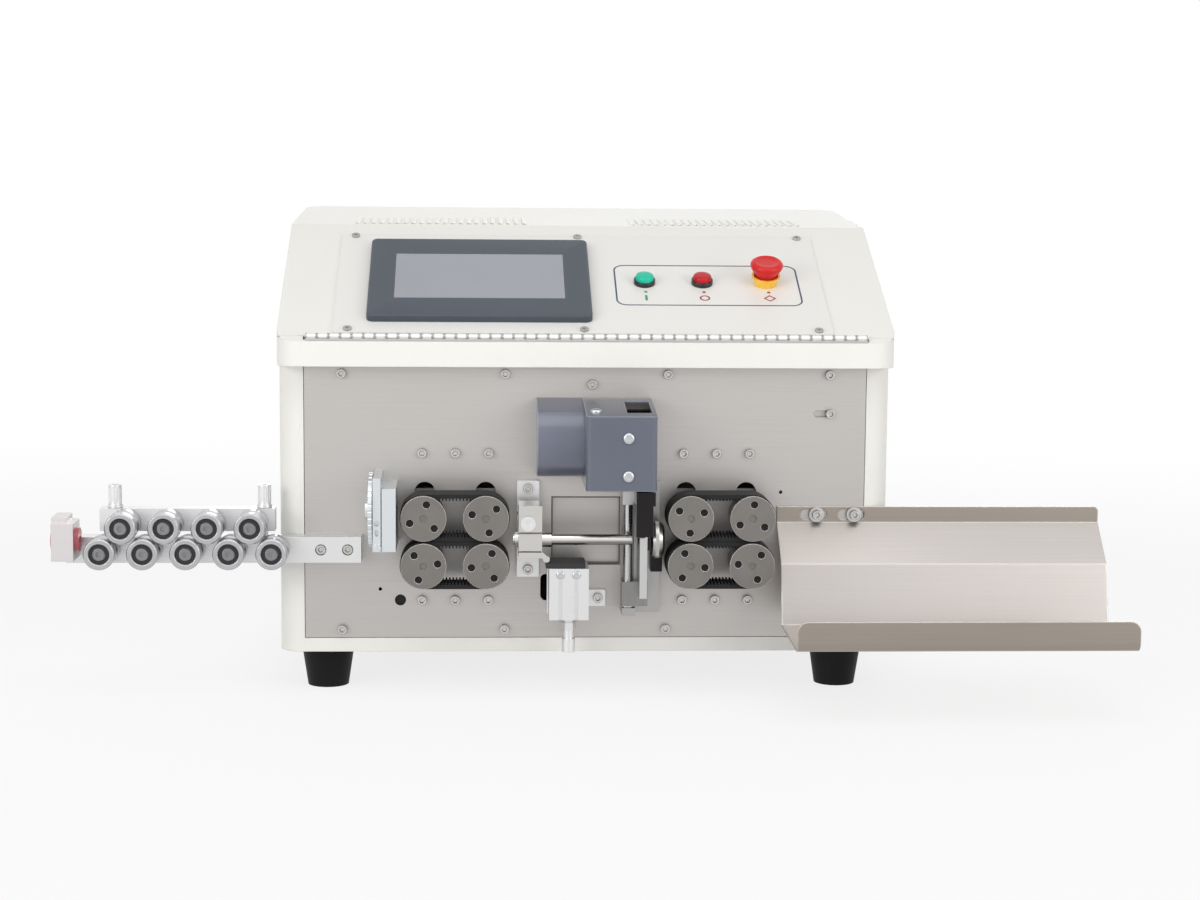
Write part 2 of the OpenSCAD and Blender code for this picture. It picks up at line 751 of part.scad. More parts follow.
module profile_toe() {
    translate([0, wy + 6, 0]) rotate([90, 0, 0]) linear_extrude(12) union() {
        polygon([
            [pivot_x + 4, wz - 8],
            [pivot_x + 11, wz - 8],
            [toe_x + toe_r, pad_top + free + toe_r],
            [toe_x - toe_r, pad_top + free + toe_r]
        ]);
        translate([toe_x, pad_top + free + toe_r]) circle(toe_r);
    }
}

module lift_cylinder() color("Gainsboro") place() {
    top = pad_top - 4.8;
    difference() {
        union() {
            box(-34, 1, -46, -12, wz - 71, top);
            box(-35, 1, -13, 0, wz - 71, top - 4);
            box(0, 18, -4, 0, wz - 66, wz - 51);
        }
        translate([-17, wy + 8, wz - 60]) cylinder(r = 4 + fit, h = 60);
        for (x = [-24, -10])
            box(x - 1.5, x + 1.5, -47, -43.5, wz - 72, wz - 36);
        for (x = [-24, -10])
            translate([x, 0, top - 6]) bar_y(3, -47, -44);
        translate([11, 0, wz - 58.4]) bar_y(2.5 + fit, -5, 1);
    }
    translate([-16, wy + 8, wz - 102]) {
        cylinder(r = 4.6, h = 31);
        translate([0, 0, 20]) cylinder(r = 6.8, h = 7, $fn = 6);
        cylinder(r = 5.8, h = 12);
    }
}

module cylinder_rod() color("DimGray") place() {
    union() {
        box(toe_x - 0.5, -2, -46, -14, pad_top - 4.5, pad_top);
        translate([-17, wy + 8, wz - 54]) cylinder(r = 4, h = pad_top - wz + 51);
    }
}

module selector_bracket() color("LightGray") place() {
    z = wz + sel_r;
    difference() {
        union() {
            box(sel_x - 20, sel_x - 13, wy - 26, 0, wz - 7, wz + 57);
            box(sel_x - 12, sel_x, wy - 26, 0, wz - 7, wz + 48);
            box(sel_x - 14, sel_x - 11, wy - 16, 0, wz - 7, wz + 48);
            translate([0, wy, z]) bar_x(5, sel_x - 25, sel_x - 19);
            translate([0, wy, z]) bar_x(8, sel_x - 27.5, sel_x - 24.3);
        }
        translate([0, wy, wz]) bar_x(6, sel_x - 30, sel_x + 1);
        translate([sel_x - 16.5, 0, wz + 18]) bar_y(2.6, wy - 27, wy - 20);
        slot_y(1.5, sel_x - 16.5, wz + 8, sel_x - 16.5, wz + 11, wy - 27, wy - 20);
    }
    translate([sel_x - 15.5, wy - 26, wz - 3.2]) cap_screw(-eps, 1.7);
}

module selector_disc() color("Silver") place() {
    translate([0, wy, wz + sel_r]) difference() {
        bar_x(33, sel_x - 24, sel_x - 20.6);
        bar_x(5 + fit, sel_x - 30, sel_x);
        for (i = [0 : 5])
            rotate([i * 60, 0, 0]) translate([0, 0, -sel_r]) bar_x(sel_holes[i], sel_x - 30, sel_x);
        for (i = [0 : 35])
            rotate([i * 10 + 5, 0, 0]) translate([0, 0, 33.6]) bar_x(1.3, sel_x - 30, sel_x);
    }
}

// bolt that carries a roller, from the face of a bar
module roller_bolt() {
    difference() {
        union() {
            bar_y(4, roller_y0 + 1, -bar_t);
            bar_y(6.5, roller_y1 + free, -bar_t);
            bar_y(5.2, roller_y0 + 0.4, roller_y0 + bearing_in - free);
        }
        translate([0, roller_y0 - 1, 0]) rotate([-90, 0, 0]) cylinder(r = 2.6, h = 3.2, $fn = 6);
    }
}

module straightener_bar() color("LightGray") place() {
    difference() {
        union() {
            box(bar_x0, bar_x1, -bar_t, 0, wz - 24, wz - 1);
            for (d = [-1, 1])
                translate([row_x + d * stud_x, stud_y, wz - 13]) cylinder(r = 3, h = 53);
        }
        for (x = bar_fix)
            translate([x, 0, wz - 12.5]) {
                bar_y(5, -bar_t - 1, 5 - bar_t);
                bar_y(2.5 + fit, -bar_t, 1);
            }
    }
    for (i = [-2 : 2])
        translate([row_x + i * roller_pitch, 0, wz - row_dz]) roller_bolt();
}

module straightener_top_bar() color("Gainsboro") place() {
    difference() {
        box(row_x - 2.1 * roller_pitch, row_x + 2.02 * roller_pitch, -bar_t, -3, wz + 4.5, wz + 24.5);
        for (d = [-1, 1])
            translate([row_x + d * stud_x, stud_y, wz]) cylinder(r = 3 + fit, h = 30);
    }
    for (i = [-1.5 : 1.5])
        translate([row_x + i * roller_pitch, 0, wz + row_dz]) roller_bolt();
}

module thumb_nut(d) {
    translate([row_x + d * stud_x, stud_y, wz + 24.8]) difference() {
        union() {
            cylinder(r = 5.8, h = 20);
            cylinder(r = 6.6, h = 3);
        }
        translate([0, 0, -1]) cylinder(r = 3 + fit, h = 30);
        for (i = [0 : 17])
            rotate([0, 0, i * 20]) translate([6.3, 0, 5]) cylinder(r = 0.8, h = 13);
    }
}

module thumb_nut_left() color("Gainsboro") place() thumb_nut(-1);

module thumb_nut_right() color("Gainsboro") place() thumb_nut(1);

// grooved roller on its bolt
module roller(i, up) {
    w = roller_y1 - roller_y0;
    g = wy - roller_y0;
    translate([row_x + i * roller_pitch, roller_y0, wz + up * row_dz]) rotate([-90, 0, 0]) rotate_extrude()
        polygon([
            [4 + fit, bearing_in],
            [roller_r * 0.64, bearing_in],
            [roller_r * 0.64, 0.9],
            [roller_r * 0.7, 0],
            [roller_r - 1.1, 0],
            [roller_r, 1.1],
            [roller_r, g - 5],
            [roller_r - 4, g - 0.8],
            [roller_r - 4, g + 0.8],
            [roller_r, g + 5],
            [roller_r, w - 0.8],
            [roller_r - 0.8, w],
            [4 + fit, w]
        ]);
}

module roller_d1() color("Silver") place() roller(-2, -1);

module roller_d2() color("Silver") place() roller(-1, -1);

module roller_d3() color("Silver") place() roller(0, -1);

module roller_d4() color("Silver") place() roller(1, -1);

module roller_d5() color("Silver") place() roller(2, -1);

module roller_u1() color("Silver") place() roller(-1.5, 1);

module roller_u2() color("Silver") place() roller(-0.5, 1);

module roller_u3() color("Silver") place() roller(0.5, 1);

module roller_u4() color("Silver") place() roller(1.5, 1);

module inlet_block() color("LightGray") place() difference() {
    union() {
        box(inlet_x0, inlet_x1, wy - 16, -bar_t, wz - 17, wz + 16);
        box(inlet_x0, inlet_x1 - 6, wy - 12, -bar_t, wz - 17, wz + 21);
    }
    translate([0, wy, wz]) bar_x(7 + fit, inlet_x0 - 1, inlet_x1 + 1);
}

module inlet_bush() color("LightCoral") place() translate([0, wy, wz]) difference() {
    union() {
        bar_x(7, inlet_x0 - 1, inlet_x1 + 1);
        bar_x(10.5, inlet_x0 - 1.5, inlet_x0);
        bar_x(10.5, inlet_x1, inlet_x1 + 3.5);
    }
    bar_x(4, inlet_x0 - 5, inlet_x1 + 5);
    translate([inlet_x0 - 1.5 - eps, 0, 0]) rotate([0, 90, 0]) cylinder(r1 = 7, r2 = 4, h = 3);
}

// bent sheet: a line of points thickened to its left by t
function unit2(v) = v / norm(v);
function left2(v) = [-v[1], v[0]];
function side2(p, i) = left2(unit2(p[i + 1] - p[i]));
function miter2(p, i, t) =
    i == 0 ? side2(p, 0) * t
    : i == len(p) - 1 ? side2(p, i - 1) * t
    : (side2(p, i - 1) + side2(p, i)) * t / (1 + side2(p, i - 1) * side2(p, i));
function sheet2(p, t) = concat(p, [for (i = [len(p) - 1 : -1 : 0]) p[i] + miter2(p, i, t)]);

module output_tray() color("Silver") place() difference() {
    profile_x(sheet2([
        [tray_y, wz + 24.4],
        [tray_y, wz + 24.4 - tray_flange],
        [-36, wz - 22.5],
        [-49, wz - 75],
        [-tray_out, wz - 78],
        [-tray_out, wz - 52.5]
    ], tray_t), tray_x0, tray_x1);
    for (x = tray_fix)
        slot_y(4.6, x - 10, wz + 17, x + 5, wz + 17, -5, 1);
    // rounded ends of the front lip
    for (m = [0, 1])
        translate([m == 0 ? tray_x0 : tray_x1, 0, wz - 52.5 - lip_r]) mirror([m, 0, 0]) difference() {
            box(-1, lip_r, -tray_out - 5, 5 - tray_out, 0, lip_r + 1);
            translate([lip_r, 0, 0]) bar_y(lip_r, -tray_out - 6, 6 - tray_out);
        }
}

// knuckles k0, k0 + 2, ... of the hinge, with the leaf that joins them on side d
knuckles = 2 * floor(hinge_len / knuckle / 2) + 1;
knuckle_p = hinge_len / knuckles;

module hinge_leaf(k0, d) {
    difference() {
        union() {
            for (k = [k0 : 2 : knuckles - 1])
                translate([-hinge_len / 2 + k * knuckle_p + 0.15, hinge_a, hinge_n]) {
                    bar_x(hinge_r, 0, knuckle_p - 0.3);
                    translate([0, d < 0 ? -seam - 1 : 0, -hinge_n])
                        cube([knuckle_p - 0.3, seam + 1, 1.2]);
                }
            translate([-hinge_len / 2, d < 0 ? hinge_a - seam - 2.6 : hinge_a + seam, 0])
                cube([hinge_len, d < 0 ? 2.6 : 1.8, 1.2]);
        }
        translate([0, hinge_a, hinge_n]) bar_x(1.5 + fit, -hinge_len, hinge_len);
    }
}

module hinge_lower_leaf() color("Gainsboro") place() on_slope() {
    hinge_leaf(0, -1);
    translate([0, hinge_a, hinge_n]) bar_x(1.5, -hinge_len / 2 - 1, hinge_len / 2 + 1);
}

module hood_profile(t) {
    s = hinge_a + seam;
    profile_x([
        [s * ca - brow_out + (t > 0 ? 2 * t : 0), seam_z + 0.6 - t],
        [s * ca - brow_out + (t > 0 ? 2 * t : 0), brow_z1 + s * sa - t / ca + (t > 0 ? 2 * t : 0) * sa / ca],
        [slope_y, slope_z - t / cos(slope_a / 2 + top_rise / 2)],
        [body_d - t, roof_z - t],
        [body_d - t, seam_z + 0.6 - t]
    ], t - body_w / 2, body_w / 2 - t);
}

module hood_shell() color("Ivory") place() union() {
    difference() {
        intersection() {
            hood_profile(0);
            translate([0, 0, seam_z - 10]) linear_extrude(roof_z) plan(-brow_out, 0);
        }
        intersection() {
            hood_profile(sheet_t);
            translate([0, 0, seam_z - 20]) linear_extrude(roof_z) plan(-brow_out, sheet_t);
        }
        on_slope() box(panel_x - panel_w / 2 + 20, panel_x + panel_w / 2 - 20,
            panel_a0 + 16, panel_a1 - 16, -9, 5);
        on_roof() for (s = [-1, 1], i = [0 : vents - 1]) {
            x = s * 132 + (i - (vents - 1) / 2) * 7.6;
            box(x - 1.5, x + 1.5, 14, 74, -9, 9);
        }
    }
    on_slope() hinge_leaf(1, 1);
}

module control_panel() color("WhiteSmoke") place() on_slope() {
    difference() {
        linear_extrude(panel_t)
            round_rect(panel_x - panel_w / 2, panel_x + panel_w / 2, panel_a0, panel_a1, 3);
        box(screen_x - screen_w / 2 + 6, screen_x + screen_w / 2 - 6,
            screen_a - screen_h / 2 + 6, screen_a + screen_h / 2 - 6, -1, panel_t + 1);
        for (x = [start_x, stop_x])
            translate([x, button_a, -1]) cylinder(r = button_r + 1.6, h = panel_t + 2);
        translate([estop_x, button_a, -1]) cylinder(r = 8.1, h = panel_t + 2);
        panel_fix() translate([0, 0, -1]) cylinder(r = 2 + fit, h = panel_t + 2);
    }
    panel_fix() {
        difference() {
            translate([0, 0, panel_t]) cylinder(r = 3.8, h = 2);
            translate([0, 0, panel_t + 0.8]) cylinder(r = 1.6, h = 3, $fn = 6);
        }
        translate([0, 0, 0.4]) cylinder(r = 2, h = panel_t - 0.4 + eps);
    }
}

// the six fixing points of the panel
module panel_fix() {
    for (i = [-1, 0, 1], a = [panel_a0 + 5, panel_a1 - 5])
        translate([panel_x + i * (panel_w / 2 - 13), a, 0]) children();
}

module touch_screen() color("SlateGray") place() on_slope() translate([screen_x, screen_a, 0]) difference() {
    union() {
        translate([0, 0, panel_t]) linear_extrude(screen_out)
            round_rect(-screen_w / 2, screen_w / 2, -screen_h / 2, screen_h / 2, 6);
        box(-screen_w / 2 + 7, screen_w / 2 - 7, -screen_h / 2 + 7, screen_h / 2 - 7, -26, panel_t + eps);
    }
    box(-screen_w * 0.384, screen_w * 0.384, -screen_h * 0.29, screen_h * 0.29,
        panel_t + screen_out - 1.4, panel_t + screen_out + 1);
}

module button_collars() color("DimGray") place() on_slope() {
    for (x = [start_x, stop_x])
        translate([x, button_a, 0]) difference() {
            union() {
                translate([0, 0, panel_t]) cylinder(r1 = button_r + 3.2, r2 = button_r + 2, h = 4.5);
                translate([0, 0, -24]) cylinder(r = button_r + 1.5, h = 24 + panel_t + eps);
            }
            translate([0, 0, -6]) cylinder(r = button_r + free, h = 30);
        }
    translate([estop_x, button_a, 0]) difference() {
        union() {
            translate([0, 0, panel_t]) cylinder(r1 = mushroom_r - 5, r2 = mushroom_r - 1.6, h = 9);
            translate([0, 0, -28]) cylinder(r = 8, h = 28 + panel_t + eps);
        }
        translate([0, 0, -8]) cylinder(r = 5 + free, h = 40);
        translate([0, 0, panel_t + 4]) cylinder(r = mushroom_r - 4.4, h = 20);
    }
}

module push_button() {
    union() {
        translate([0, 0, button_travel - 5.6]) cylinder(r = button_r, h = panel_t + 12.8 - button_travel);
        translate([0, 0, panel_t + 7.2 - eps]) cylinder(r1 = button_r, r2 = button_r - 1.3, h = 1.5);
    }
}

module start_button() color("MediumSeaGreen") place() on_slope() translate([start_x, button_a, 0]) push_button();

module stop_button() color("IndianRed") place() on_slope() translate([stop_x, button_a, 0]) push_button();

module estop_head() color("Red") place() on_slope() translate([estop_x, button_a, panel_t]) {
    union() {
        translate([0, 0, mushroom_travel - 9.6]) cylinder(r = 5, h = 20);
        translate([0, 0, mushroom_travel + 4.4]) cylinder(r = mushroom_r - 5, h = 5.2);
        translate([0, 0, mushroom_travel + 9.4]) rotate_extrude() polygon([
            [0, 0],
            [mushroom_r - 2.4, 0],
            [mushroom_r, 5],
            [mushroom_r, 6.8],
            [mushroom_r - 0.9, 8.6],
            [mushroom_r - 3, 9.6],
            [mushroom_r - 7, 9.8],
            [0, 9.8]
        ]);
    }
}

base_pan();
body_shell();
front_plate();
front_screws();
rubber_feet();
power_inlet();
power_switch();
control_electronics();
drive_motors();
feed_frames();
lower_belts();
left_upper_belt();
right_upper_belt();
left_carriage();
right_carriage();
pulley_l1();
pulley_l2();
pulley_l3();
pulley_l4();
pulley_r1();
pulley_r2();
pulley_r3();
pulley_r4();
cutter_frame();
cutter_side_cover();
cutter_front_cover();
lead_screw();
upper_blade();
lower_blade();
outlet_guide();
tube_bracket();
guide_tube();
lift_cylinder();
cylinder_rod();
selector_bracket();
selector_disc();
straightener_bar();
straightener_top_bar();
thumb_nut_left();
thumb_nut_right();
roller_d1();
roller_d2();
roller_d3();
roller_d4();
roller_d5();
roller_u1();
roller_u2();
roller_u3();
roller_u4();
inlet_block();
inlet_bush();
output_tray();
hinge_lower_leaf();
hood_shell();
control_panel();
touch_screen();
button_collars();
start_button();
stop_button();
estop_head();
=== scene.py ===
# %% [markdown]
# # A bench machine that cuts and strips wire
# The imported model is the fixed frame: every solid of the machine is already in place, in metres,
# with X along the wire, Y into the machine and Z up. This lesson gives each solid its finish and
# models the small things that the solids leave out, such as the domed lenses of the buttons.

# %% Load the frame
import json
import math

import bmesh
import bpy
from mathutils import Matrix, Vector


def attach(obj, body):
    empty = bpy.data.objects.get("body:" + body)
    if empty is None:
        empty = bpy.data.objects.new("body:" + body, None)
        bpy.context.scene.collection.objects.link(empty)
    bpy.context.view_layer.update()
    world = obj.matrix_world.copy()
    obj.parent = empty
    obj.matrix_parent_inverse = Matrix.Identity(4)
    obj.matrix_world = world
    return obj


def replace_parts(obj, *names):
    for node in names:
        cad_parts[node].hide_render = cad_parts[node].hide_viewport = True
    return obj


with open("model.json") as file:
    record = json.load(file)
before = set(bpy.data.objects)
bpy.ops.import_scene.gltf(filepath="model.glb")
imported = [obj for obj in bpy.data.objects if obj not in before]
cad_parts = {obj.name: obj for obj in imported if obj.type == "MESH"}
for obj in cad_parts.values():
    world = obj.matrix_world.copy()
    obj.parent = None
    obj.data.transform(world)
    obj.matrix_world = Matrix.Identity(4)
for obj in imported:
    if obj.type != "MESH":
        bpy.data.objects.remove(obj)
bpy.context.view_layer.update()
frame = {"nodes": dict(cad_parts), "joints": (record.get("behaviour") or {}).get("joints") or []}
nodes = frame["nodes"]

# %% [markdown]
# ## Places on the machine
# The drawing of the machine counts millimetres from the middle of the front plate's foot, and the
# frame is shifted so that its origin is under the middle of the whole machine. `at` turns a place
# of the drawing into a place in the frame. The console has its own slope, so `on_slope` takes a
# distance across, a distance up the slope and a height off it. `FACING_FRONT` turns a piece's top
# to the front.

# %% Drawing values
MM = 0.001
SHIFT = Vector((1.05, -120.75, 0.0))
SLOPE = math.radians(26.0)
SLOPE_UP = (0.0, -math.sin(SLOPE), math.cos(SLOPE))
FACING_FRONT = (math.radians(90.0), 0.0, 0.0)
BROW_FRONT = -26.0
BROW_TOP = 318.0
WIRE_Z = 145.0
PANEL_FACE = 2.0


def at(x=0.0, y=0.0, z=0.0):
    return (Vector((x, y, z)) + SHIFT) * MM


def on_slope(x, a, n):
    y = BROW_FRONT + a * math.cos(SLOPE) - n * math.sin(SLOPE)
    z = BROW_TOP + a * math.sin(SLOPE) + n * math.cos(SLOPE)
    return at(x, y, z)


# %% [markdown]
# ## The camera
# The photograph looks at the machine from the front, a little from the left and from above, with a
# long lens. Its place, lens and tilt were found from the edges of the front plate and the console.
# The camera's axes are built by hand from yaw, pitch and roll, because that is how they were found.

# %% Camera
CAMERA_PLACE = Vector((-97.95, -2188.75, 468.0)) * MM
CAMERA_YAW = math.radians(3.08)
CAMERA_PITCH = math.radians(6.83)
CAMERA_ROLL = math.radians(0.48)
FOCAL_PIXELS = 2330.0
IMAGE_WIDTH = 1200.0
SENSOR_WIDTH = 36.0
SIGHT_END = 50.0

forward = Vector((
    math.sin(CAMERA_YAW) * math.cos(CAMERA_PITCH),
    math.cos(CAMERA_YAW) * math.cos(CAMERA_PITCH),
    -math.sin(CAMERA_PITCH),
))
level_right = Vector((math.cos(CAMERA_YAW), -math.sin(CAMERA_YAW), 0.0))
level_up = level_right.cross(forward)
right = math.cos(CAMERA_ROLL) * level_right + math.sin(CAMERA_ROLL) * level_up
up = right.cross(forward)
camera_data = bpy.data.cameras.new("photo_camera")
camera_data.sensor_width = SENSOR_WIDTH
camera_data.lens = FOCAL_PIXELS / IMAGE_WIDTH * SENSOR_WIDTH
camera_data.clip_end = SIGHT_END
camera = bpy.data.objects.new("photo_camera", camera_data)
axes = Matrix((right, up, -forward)).transposed()
camera.matrix_world = Matrix.Translation(CAMERA_PLACE) @ axes.to_4x4()
bpy.context.scene.collection.objects.link(camera)
bpy.context.scene.camera = camera
print("lens:", round(camera_data.lens, 1), "mm")

# %% [markdown]
# ## Small helpers for modelling
# Operators act on whatever is selected, and loading the frame leaves its solids selected. So each
# piece starts from an empty selection. `pick_faces` and `pick_edges` select parts of the active
# mesh by a test on their middle and direction, which is what a hand would do with the mouse.
# A direction lies along an axis when its share of that axis is above `ALONG`. `settle` writes an
# object's place into its mesh, so the finished object sits at the origin.

# %% Modelling helpers
ALONG, ACROSS = 0.9, 0.1
NEAR = 0.01


def clear_selection():
    if bpy.context.object is not None and bpy.context.object.mode != "OBJECT":
        bpy.ops.object.mode_set(mode="OBJECT")
    bpy.ops.object.select_all(action="DESELECT")


def focus(piece):
    clear_selection()
    piece.select_set(True)
    bpy.context.view_layer.objects.active = piece


def settle(piece):
    focus(piece)
    bpy.ops.object.transform_apply(location=True, rotation=True, scale=True)
    return piece


def new_block(name, size, place=(0.0, 0.0, 0.0)):
    clear_selection()
    bpy.ops.mesh.primitive_cube_add(size=1.0)
    piece = bpy.context.object
    piece.name = piece.data.name = name
    bpy.ops.transform.resize(value=[s * MM for s in size])
    bpy.ops.transform.translate(value=[p * MM for p in place])
    return settle(piece)


def new_round(name, radius, depth, middle=0.0, sides=48):
    clear_selection()
    bpy.ops.mesh.primitive_cylinder_add(
        vertices=sides, radius=radius * MM, depth=depth * MM, location=(0.0, 0.0, middle * MM)
    )
    piece = bpy.context.object
    piece.name = piece.data.name = name
    return settle(piece)


def edit(piece):
    focus(piece)
    bpy.ops.object.mode_set(mode="EDIT")


def object_mode():
    bpy.ops.object.mode_set(mode="OBJECT")


def choose(piece, kind, test):
    """Selects the faces or the edges that pass a test and says how many they are."""
    mesh = bmesh.from_edit_mesh(piece.data)
    bpy.ops.mesh.select_mode(type=kind)
    bpy.ops.mesh.select_all(action="DESELECT")
    chosen = [part for part in (mesh.faces if kind == "FACE" else mesh.edges) if test(part)]
    for part in chosen:
        part.select_set(True)
    bmesh.update_edit_mesh(piece.data)
    return len(chosen)


def pick_faces(piece, test):
    return choose(piece, "FACE", lambda face: test(face.calc_center_median() / MM, face.normal))


def pick_edges(piece, test):
    def passes(edge):
        start, end = (v.co / MM for v in edge.verts)
        return test((start + end) / 2, (end - start).normalized())
    return choose(piece, "EDGE", passes)


def pick_rim(piece, test):
    """Selects the edges between an upward face and an upright one."""
    def passes(edge):
        tilts = sorted(abs(face.normal.z) for face in edge.link_faces)
        middle = (edge.verts[0].co + edge.verts[1].co) / (2 * MM)
        return len(tilts) == 2 and tilts[0] < ACROSS and tilts[1] > ALONG and test(middle)
    return choose(piece, "EDGE", passes)


def round_edges(piece, width):
    focus(piece)
    bevel = piece.modifiers.new("rounded edges", "BEVEL")
    bevel.width = width * MM
    bevel.segments = 2
    bevel.limit_method = "ANGLE"
    bevel.angle_limit = math.radians(35.0)
    bpy.ops.object.modifier_apply(modifier=bevel.name)


def smooth(piece, angle=40.0):
    focus(piece)
    bpy.ops.object.shade_smooth_by_angle(angle=math.radians(angle))


def move_to(piece, place, turn=(0.0, 0.0, 0.0)):
    focus(piece)
    piece.rotation_euler = turn
    piece.location = place
    return settle(piece)


def lay_on_slope(piece, x, a, n):
    return move_to(piece, on_slope(x, a, n), (SLOPE, 0.0, 0.0))


def copy_of(piece, name):
    twin = piece.copy()
    twin.data = piece.data.copy()
    twin.name = twin.data.name = name
    bpy.context.scene.collection.objects.link(twin)
    return twin


def discard(piece):
    bpy.data.objects.remove(piece, do_unlink=True)


def join_pieces(pieces, name):
    clear_selection()
    for piece in pieces:
        piece.select_set(True)
    bpy.context.view_layer.objects.active = pieces[0]
    bpy.ops.object.join()
    pieces[0].name = pieces[0].data.name = name
    return pieces[0]


def tell(piece):
    print(piece.name, "faces:", len(piece.data.polygons))


def dress(piece, finish, body):
    piece.data.materials.clear()
    piece.data.materials.append(finish)
    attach(piece, body)
    return piece


# %% [markdown]
# ## Small helpers for nodes
# World, floor and finishes are built from nodes. What goes into a socket is a plain value or the
# output of another node: `fill` writes the values and links the outputs. `off_axis` measures how
# far a point lies from an axis, by taking away the direction along it.

# %% Node helpers
ACROSS_X, ACROSS_Y = (0.0, 1.0, 1.0), (1.0, 0.0, 1.0)


def blank_tree(owner):
    owner.use_nodes = True
    owner.node_tree.nodes.clear()
    return owner.node_tree


def fill(tree, node, values):
    for label, value in values.items():
        if isinstance(value, bpy.types.NodeSocket):
            tree.links.new(value, node.inputs[label])
        else:
            node.inputs[label].default_value = value
    return node


def add_node(tree, kind, values):
    return fill(tree, tree.nodes.new(kind), values)


def math_node(tree, operation, a, b, clamp=False):
    node = tree.nodes.new("ShaderNodeMath")
    node.operation = operation
    node.use_clamp = clamp
    return fill(tree, node, {0: a, 1: b}).outputs[0]


def vector_node(tree, operation, a, b=(0.0, 0.0, 0.0)):
    """The vector that the operation gives, or the number where it gives one."""
    node = tree.nodes.new("ShaderNodeVectorMath")
    node.operation = operation
    gives_number = operation in ("LENGTH", "DOT_PRODUCT")
    return fill(tree, node, {0: a, 1: b}).outputs["Value" if gives_number else "Vector"]


def place_of(tree, source="Object"):
    """Each point's place on its object, or the way its face looks."""
    return tree.nodes.new("ShaderNodeTexCoord").outputs[source]


def coordinate(tree, axis, source="Object"):
    return add_node(tree, "ShaderNodeSeparateXYZ", {0: place_of(tree, source)}).outputs[axis]


def off_axis(tree, point, across):
    off = vector_node(tree, "SUBTRACT", place_of(tree), point)
    return vector_node(tree, "LENGTH", vector_node(tree, "MULTIPLY", off, across))


def ramp(tree, value, start, end, least=0.0, curve="LINEAR"):
    """A climb from the least value at the start to 1 at the end."""
    node = tree.nodes.new("ShaderNodeMapRange")
    node.interpolation_type = curve
    return fill(tree, node, {
        "Value": value, "From Min": start, "From Max": end, "To Min": least, "To Max": 1.0,
    }).outputs[0]


# %% [markdown]
# ## Studio
# The machine stands on a plain pale floor under four large soft lamps, as a catalogue picture is
# lit. The white surroundings are painted only for the eye and for mirrors: the light path tells
# the world whether a ray comes from the camera or a polished face, and other rays get a lower,
# even light, so the machine's colours stay as they are written. The floor keeps the machine's
# shadow close by and fades to plain white further off, so that no horizon shows.

# %% World, floor and lamps
WHITE = (1.0, 1.0, 1.0, 1.0)
AIR_TINT, AIR_STRENGTH = (0.97, 0.98, 1.0, 1.0), 0.45
FLOOR_SIZE, FLOOR_GREY = 24.0, (0.86, 0.86, 0.86, 1.0)
FADE_START, FADE_END, LEAST_WHITE = 0.7, 2.2, 0.80
scene = bpy.context.scene
scene.view_settings.view_transform = "Standard"


def seen_directly(tree):
    """A mask that is 1 for rays of the eye, of mirrors and of glass."""
    path = tree.nodes.new("ShaderNodeLightPath").outputs
    eye_or_mirror = math_node(tree, "MAXIMUM", path["Is Camera Ray"], path["Is Glossy Ray"])
    return math_node(tree, "MAXIMUM", eye_or_mirror, path["Is Transmission Ray"])


def mix_shaders(tree, share, first, second):
    sockets = {0: share, 1: first.outputs[0], 2: second.outputs[0]}
    return add_node(tree, "ShaderNodeMixShader", sockets).outputs[0]


world = bpy.data.worlds.new("pale studio")
scene.world = world
air = blank_tree(world)
air_light = add_node(air, "ShaderNodeBackground", {"Color": AIR_TINT, "Strength": AIR_STRENGTH})
air_seen = add_node(air, "ShaderNodeBackground", {"Color": WHITE, "Strength": 1.0})
air_mix = mix_shaders(air, seen_directly(air), air_light, air_seen)
add_node(air, "ShaderNodeOutputWorld", {"Surface": air_mix})

clear_selection()
bpy.ops.mesh.primitive_plane_add(size=FLOOR_SIZE)
floor = bpy.context.object
floor.name = "floor"
floor_paint = bpy.data.materials.new("floor paper")
ground = blank_tree(floor_paint)
ground_matte = add_node(ground, "ShaderNodeBsdfDiffuse", {"Color": FLOOR_GREY})
ground_white = add_node(ground, "ShaderNodeEmission", {"Color": WHITE, "Strength": 1.0})
ground_far = vector_node(ground, "LENGTH", place_of(ground))
ground_fade = ramp(ground, ground_far, FADE_START, FADE_END, LEAST_WHITE, "SMOOTHSTEP")
ground_share = math_node(ground, "MULTIPLY", seen_directly(ground), ground_fade)
ground_mix = mix_shaders(ground, ground_share, ground_matte, ground_white)
add_node(ground, "ShaderNodeOutputMaterial", {"Surface": ground_mix})
floor.data.materials.append(floor_paint)


def soft_lamp(name, place, target, size, watts):
    lamp_data = bpy.data.lights.new(name, "AREA")
    lamp_data.shape = "RECTANGLE"
    lamp_data.size, lamp_data.size_y = size
    lamp_data.energy = watts
    lamp = bpy.data.objects.new(name, lamp_data)
    lamp.location = place
    lamp.rotation_euler = (Vector(target) - Vector(place)).to_track_quat("-Z", "Y").to_euler()
    scene.collection.objects.link(lamp)


soft_lamp("lamp_left", (-1.9, -2.1, 0.95), (0.0, -0.1, 0.2), (1.5, 1.2), 25.0)
soft_lamp("lamp_right", (2.0, -1.9, 0.9), (0.1, -0.1, 0.2), (1.3, 1.2), 18.5)
soft_lamp("lamp_top", (0.0, -1.1, 1.9), (0.0, 0.0, 0.3), (2.4, 1.2), 13.0)
soft_lamp("lamp_back", (0.4, 2.4, 0.9), (0.0, 0.2, 0.2), (2.0, 1.2), 16.0)
